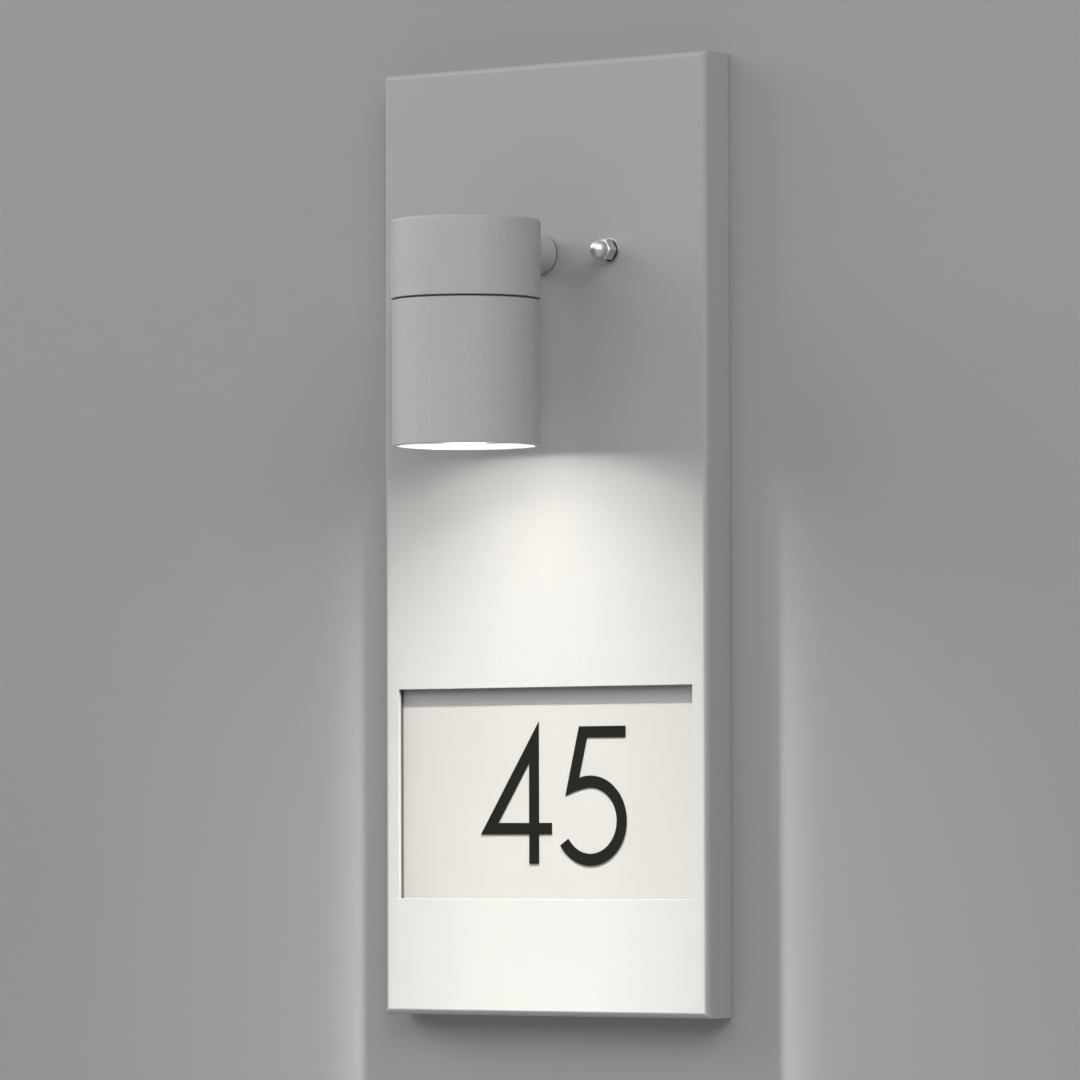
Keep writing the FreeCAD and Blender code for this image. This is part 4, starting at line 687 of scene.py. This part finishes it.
def add_fins(materials):
    """Cooling fins round the cone of the lamp's body."""
    low, high, middle = box_of("lamp_body")
    rim = (high.x - low.x) / 2
    foot = Vector((rim, 0, low.z + LAMP_RIM))
    slope = Vector((LAMP_NECK_RADIUS, 0, high.z - LAMP_NECK)) - foot
    outward = Vector((slope.z, 0, -slope.x)).normalized()
    section = []
    for share, lift in FIN_PROFILE:
        point = foot + slope * (FIN_REACH * share) + outward * (FIN_HEIGHT * lift)
        section.append(Vector((min(point.x, rim), 0, point.z)))
    centre = sum(section, Vector()) / len(section)
    rows = [[point.lerp(centre, inset) + Vector((0, side * FIN_THICK / 2, 0)) for point in section]
            for side, inset in FIN_SIDES]
    made = []
    for number in range(FIN_COUNT):
        turn = math.tau * number / FIN_COUNT
        fin = rings_mesh(f"fin_{number}", rows, True, FIN_CORNER)
        fin.transform(Matrix.Translation((middle.x, middle.y, 0)) @ Matrix.Rotation(turn, 4, "Z"))
        made.append(fin)
    add_piece("lamp_fins", made, "lamp", "lamp_metal", materials)


LENSLET_RADIUS = 3.1 * MM
LENSLET_HEIGHT = 0.9 * MM
LENSLET_PITCH = 6.4 * MM
LENSLET_COUNT = 3         # rows on each side of the middle one
LENSLET_SIDES = 24
LENSLET_RINGS = 5
LENSLET_TOP = 88.0        # degrees up the dome at which its flat tip starts
LENSLET_CORNER = 40.0


def lenslet(name):
    """Low dome on Z = 0."""
    rings = []
    for row in range(LENSLET_RINGS + 1):
        lean = math.radians(LENSLET_TOP * row / LENSLET_RINGS)
        rings.append(circle(LENSLET_RADIUS * math.cos(lean), LENSLET_HEIGHT * math.sin(lean), LENSLET_SIDES))
    return rings_mesh(name, rings, True, LENSLET_CORNER)


def add_lenslets(materials):
    """Domes in a honeycomb on the front of the lamp's lens, one over each light chip."""
    low, _, middle = box_of("lamp_lens")
    made = []
    for row in range(-LENSLET_COUNT, LENSLET_COUNT + 1):
        for column in range(-LENSLET_COUNT, LENSLET_COUNT + 1):
            if abs(row + column) > LENSLET_COUNT:
                continue
            place = (middle.x + LENSLET_PITCH * (column + row / 2),
                     middle.y + LENSLET_PITCH * row * math.sqrt(3) / 2, low.z + SUNK)
            made.append(along(lenslet(f"dome_{row}_{column}"), place, (0, 0, -1)))
    add_piece("lenslets", made, "lamp", "lamp_lens", materials)


RIB_WIDTH = 1.2 * MM
RIB_HEIGHT = 0.5 * MM
RIB_SHOULDER = 0.7 * RIB_HEIGHT
RIB_CHAMFER = 0.25 * MM
RIB_INSETS = (5.0 * MM, 9.0 * MM)
RIB_CORNER = 3.0 * MM
RIB_CORNER_STEPS = 6


def rounded_frame(half_width, half_height, corner, lift):
    """Points of a level rectangle with rounded corners."""
    points = []
    for number, (side_x, side_y) in enumerate(((1, 1), (-1, 1), (-1, -1), (1, -1))):
        for step in range(RIB_CORNER_STEPS + 1):
            turn = math.radians(90 * number + 90 * step / RIB_CORNER_STEPS)
            points.append(Vector((side_x * (half_width - corner) + corner * math.cos(turn),
                                  side_y * (half_height - corner) + corner * math.sin(turn), lift)))
    return points


def add_lid_ribs(materials):
    """Two moulded frames on the back of the terminal box's lid."""
    low, high, middle = box_of("terminal_box_lid")
    made = []
    for number, inset in enumerate(RIB_INSETS):
        half_width = (high.x - low.x) / 2 - inset
        half_height = (high.z - low.z) / 2 - inset
        rows = [rounded_frame(half_width - shift, half_height - shift, RIB_CORNER - shift, lift)
                for shift, lift in ((0.0, -SUNK), (0.0, RIB_SHOULDER), (RIB_CHAMFER, RIB_HEIGHT),
                                    (RIB_WIDTH - RIB_CHAMFER, RIB_HEIGHT), (RIB_WIDTH, RIB_SHOULDER),
                                    (RIB_WIDTH, -SUNK))]
        rib = rings_mesh(f"rib_{number}", rows + rows[:1], False)
        made.append(along(rib, (middle.x, high.y, middle.z), (0, 1, 0)))
    add_piece("lid_ribs", made, "sign", "box_plastic", materials)


PLATE_SHEET = 1.5 * MM
BEAD_RADIUS = 1.3 * MM
BEAD_FRONT = 2.2 * MM     # from the plate's front to the bead, and from the bead to its back
BEAD_REAR = 0.8 * MM
BEAD_SUNK = 0.2 * MM
BEAD_RIPPLE = 1.1 * MM
BEAD_RIPPLE_ROWS = 6
BEAD_RIPPLE_SHARE = 0.14  # share of the radius that the ripples take
BEAD_END = (8, 0.25)      # how fast the bead swells from its ends, and its size there
BEAD_STEPS = 6
BEAD_HOLLOW = 0.3         # share of the radius drawn in between the two sheets
BEAD_CORNER = 60.0


def add_weld_beads(materials):
    """Rippled weld bead inside each folded corner of the plate."""
    low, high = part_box("sign_plate")
    front, rear = low.y + BEAD_FRONT, high.y - BEAD_REAR
    count = round((rear - front) / BEAD_RIPPLE * BEAD_RIPPLE_ROWS)
    made = []
    for number, (side_x, side_z) in enumerate(((1, -1), (-1, -1), (1, 1), (-1, 1))):
        x = low.x + PLATE_SHEET if side_x > 0 else high.x - PLATE_SHEET
        z = low.z + PLATE_SHEET if side_z > 0 else high.z - PLATE_SHEET
        rows = []
        for row in range(count + 1):
            share = row / count
            y = front + (rear - front) * share
            ripple = abs(math.sin(math.pi * share * (rear - front) / BEAD_RIPPLE + number))
            end = min(1.0, BEAD_END[0] * share + BEAD_END[1], BEAD_END[0] * (1 - share) + BEAD_END[1])
            reach = BEAD_RADIUS * end * (1.0 - BEAD_RIPPLE_SHARE + BEAD_RIPPLE_SHARE * ripple)
            ring = [Vector((x - side_x * BEAD_SUNK, y, z - side_z * BEAD_SUNK))]
            for step in range(BEAD_STEPS + 1):
                turn = math.radians(90 * step / BEAD_STEPS)
                hollow = 1 - BEAD_HOLLOW * math.sin(2 * turn)
                ring.append(Vector((x + side_x * reach * math.cos(turn) * hollow, y,
                                    z + side_z * reach * math.sin(turn) * hollow)))
            rows.append(ring)
        made.append(rings_mesh(f"bead_{number}", rows, True, BEAD_CORNER))
    add_piece("weld_beads", made, "sign", "plate_paint", materials)


EYELET = (                # radius and height of its section, in millimetres
    (0.75, 0.0), (1.55, 0.0), (1.7, 0.15), (1.7, 0.75), (1.55, 0.9), (0.75, 0.9))
EYELET_SPREAD = 5.2 * MM
EYELET_INSET = 2.3 * MM
EYELET_STEPS = 36
EYELET_CORNER = 30.0
LENS_RING_INNER = 26 * MM


def add_ring_eyelets(materials):
    """Two eyes for pliers at the ends of the ring that holds the glass."""
    low, _, middle = box_of("lens_ring")
    front = box_of("shade")[2].y - LENS_RING_INNER
    profile = [(radius * MM, height * MM) for radius, height in EYELET]
    made = []
    for side in (-1, 1):
        place = Vector((middle.x + side * EYELET_SPREAD, front + EYELET_INSET, low.z + SUNK))
        eye = loop_mesh(f"eyelet_{side}", profile, EYELET_STEPS, EYELET_CORNER)
        made.append(along(eye, place, (0, 0, 1)))
    add_piece("ring_eyelets", made, "shade", "stainless_steel", materials)


def add_details(materials):
    for add in (add_fixings, add_fins, add_lenslets, add_lid_ribs, add_weld_beads, add_ring_eyelets):
        add(materials)


# ---------------------------------------------------------------- stage and lights

WALL_COLOUR = (0.338, 0.338, 0.343)
WALL_BEHIND = 0.6 * MM    # the wall's distance behind the sign's back
FLOOR_COLOUR = (0.62, 0.62, 0.62)
FLOOR_LEVEL = -1.1
STAGE_REACH = 6.0
WORLD_LIGHT = 0.10
WORLD_SEEN = 0.85


def plain_surface(name, colour):
    """Matt backdrop paint that can't be seen from behind."""
    graph = Graph(name)
    graph.set(base_color=(*colour, 1.0), roughness=0.9, specular_ior_level=0.1)
    graph.clear_where(graph.node("NewGeometry").outputs["Backfacing"])
    return graph.material


def make_sheet(name, corners, colour):
    mesh = bpy.data.meshes.new(name)
    mesh.from_pydata(corners, [], [tuple(range(len(corners)))])
    mesh.materials.append(plain_surface(name + "_plain", colour))
    sheet = bpy.data.objects.new(name, mesh)
    bpy.context.scene.collection.objects.link(sheet)
    return sheet


def make_stage():
    """A plain wall that the sign hangs on, seen from the front only, and a pale floor below."""
    sides = ((-1, -1), (1, -1), (1, 1), (-1, 1))
    upright = [(x * STAGE_REACH, WALL_BEHIND, STAGE_REACH if z > 0 else FLOOR_LEVEL) for x, z in sides]
    level = [(x * STAGE_REACH, y * STAGE_REACH, FLOOR_LEVEL) for x, y in sides]
    wall = make_sheet("wall", upright, WALL_COLOUR)
    wall.visible_shadow = False
    make_sheet("floor", level, FLOOR_COLOUR)


def make_world():
    """Faint even light from all round; the camera, metal and glass see it pale."""
    world = bpy.data.worlds.new("studio")
    bpy.context.scene.world = world
    world.use_nodes = True
    graph = Nodes(world.node_tree)
    background = graph.tree.nodes["Background"]
    background.inputs["Color"].default_value = (1.0, 1.0, 1.0, 1.0)
    path = graph.node("LightPath")
    seen = path.outputs["Is Camera Ray"]
    for kind in ("Is Glossy Ray", "Is Transmission Ray"):
        seen = graph.combine("MAXIMUM", seen, path.outputs[kind])
    graph.feed(background.inputs["Strength"], graph.spread(seen, WORLD_LIGHT, WORLD_SEEN))


def aim(light, place, target):
    """Puts a light at a place, shining at a target."""
    turn = (Vector(target) - Vector(place)).to_track_quat("-Z", "Y").to_matrix().to_4x4()
    light.matrix_world = Matrix.Translation(place) @ turn


def make_light(name, kind, power, colour=(1.0, 1.0, 1.0)):
    data = bpy.data.lights.new(name, kind)
    data.energy = power
    data.color = colour
    light = bpy.data.objects.new(name, data)
    bpy.context.scene.collection.objects.link(light)
    light.visible_camera = False
    return light


LAMP_WARM = (1.0, 0.950, 0.885)
BEAM_POWER = 0.290
BEAM_SIZE = 4.0 * MM
BEAM_BELOW = 0.2 * MM     # its middle below the lamp's lens
BEAM_FLATTEST = 0.20      # smallest share of a ray towards the wall that the reflector still evens out
BEAM_EDGE = (0.0, 0.97)   # cosine from the lamp's axis where the beam starts, and where it is full
BEAM_INNER = (0.455, 0.495)   # cosine across which the inner cone's edge runs
BEAM_INNER_GAIN = 1.12
BEAM_SLANT = 0.24         # loss for each unit of sideways slope
BEAM_SIDE = (1.5, 2.0)    # sideways slope where the beam starts to fade, and where it has faded
BEAM_SIDE_LEAST = 0.27
BEAM_REACH = 3.45         # how strongly the beam makes up for distance and slant
MOUTH_POWER = 0.040
MOUTH_GLOW = (34 * MM, 6 * MM)
MOUTH_REACH = 19 * MM     # glowing band in front of the head's axis
MOUTH_RISE = 4 * MM       # its middle above the shade's lower edge
MOUTH_TILT = 25.0


def shape_beam(light):
    """Spreads the light as the lamp's facets do: evenly down the plate, softly round the edge of the beam."""
    light.use_nodes = True
    graph = Nodes(light.node_tree)
    combine = graph.combine

    def smooth(value, start, end, low, high):
        return graph.spread(value, low, high, start, end, "SMOOTHSTEP")

    split = graph.node("SeparateXYZ")
    graph.feed(split.inputs[0], graph.node("TexCoord").outputs["Normal"])
    wallward = combine("MAXIMUM", split.outputs["Y"], BEAM_FLATTEST)
    even = combine("DIVIDE", 1.0, combine("POWER", wallward, BEAM_REACH))
    down = combine("MULTIPLY", split.outputs["Z"], -1.0)
    cone = smooth(down, *BEAM_EDGE, 0.0, 1.0)
    slope = combine("DIVIDE", combine("ABSOLUTE", split.outputs["X"], 0.0), wallward)
    slant = combine("MAXIMUM", combine("SUBTRACT", 1.0, combine("MULTIPLY", slope, BEAM_SLANT)), 0.0)
    side = combine("MULTIPLY", slant, smooth(slope, *BEAM_SIDE, 1.0, BEAM_SIDE_LEAST))
    inner = smooth(down, *BEAM_INNER, 1.0, BEAM_INNER_GAIN)
    strength = combine("MULTIPLY", combine("MULTIPLY", even, cone), combine("MULTIPLY", side, inner))
    graph.feed(graph.tree.nodes["Emission"].inputs["Strength"], strength)


def make_lamp_light():
    """The lamp's own light: its reflector's beam, and the lit inside of the shade's mouth."""
    low, _, middle = box_of("lamp_lens")
    beam = make_light("lamp_beam", "POINT", BEAM_POWER, LAMP_WARM)
    beam.data.shadow_soft_size = BEAM_SIZE
    beam.matrix_world = Matrix.Translation((middle.x, middle.y, low.z - BEAM_BELOW))
    shape_beam(beam.data)
    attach(beam, "head")
    mouth = make_light("mouth_glow", "AREA", MOUTH_POWER, LAMP_WARM)
    mouth.data.shape = "RECTANGLE"
    mouth.data.size, mouth.data.size_y = MOUTH_GLOW
    place = Vector((middle.x, middle.y - MOUTH_REACH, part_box("shade")[0].z + MOUTH_RISE))
    tilt = math.radians(MOUTH_TILT)
    aim(mouth, place, place + Vector((0, math.cos(tilt), -math.sin(tilt))))
    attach(mouth, "shade")


SIGN_MIDDLE = (0.0, -0.02, -0.12)
SOFT_BOXES = {            # place, target, width and power
    "front": ((-0.4, -3.1, 1.9), SIGN_MIDDLE, 3.0, 34.0),
    "left": ((-2.7, -1.1, 1.4), SIGN_MIDDLE, 2.0, 50.0),
    "right": ((2.1, -2.14, 1.5), SIGN_MIDDLE, 1.8, 50.0),
    "back": ((0.5, 2.6, 1.6), SIGN_MIDDLE, 2.0, 40.0),
    "floor_box": ((0.3, -4.8, 1.2), (0.3, -4.8, FLOOR_LEVEL), 3.0, 30.0),
}


def make_lights():
    """Soft boxes round the sign and over the floor, and the lamp's own light."""
    for name, (place, target, width, power) in SOFT_BOXES.items():
        light = make_light(name, "AREA", power)
        light.data.shape = "SQUARE"
        light.data.size = width
        aim(light, place, target)
    make_lamp_light()


# ---------------------------------------------------------------- the scene

make_camera()
make_stage()
make_world()
make_lights()
finishes = make_materials()
dress_nodes(finishes)
add_details(finishes)

bpy.context.scene.view_settings.view_transform = "Standard"
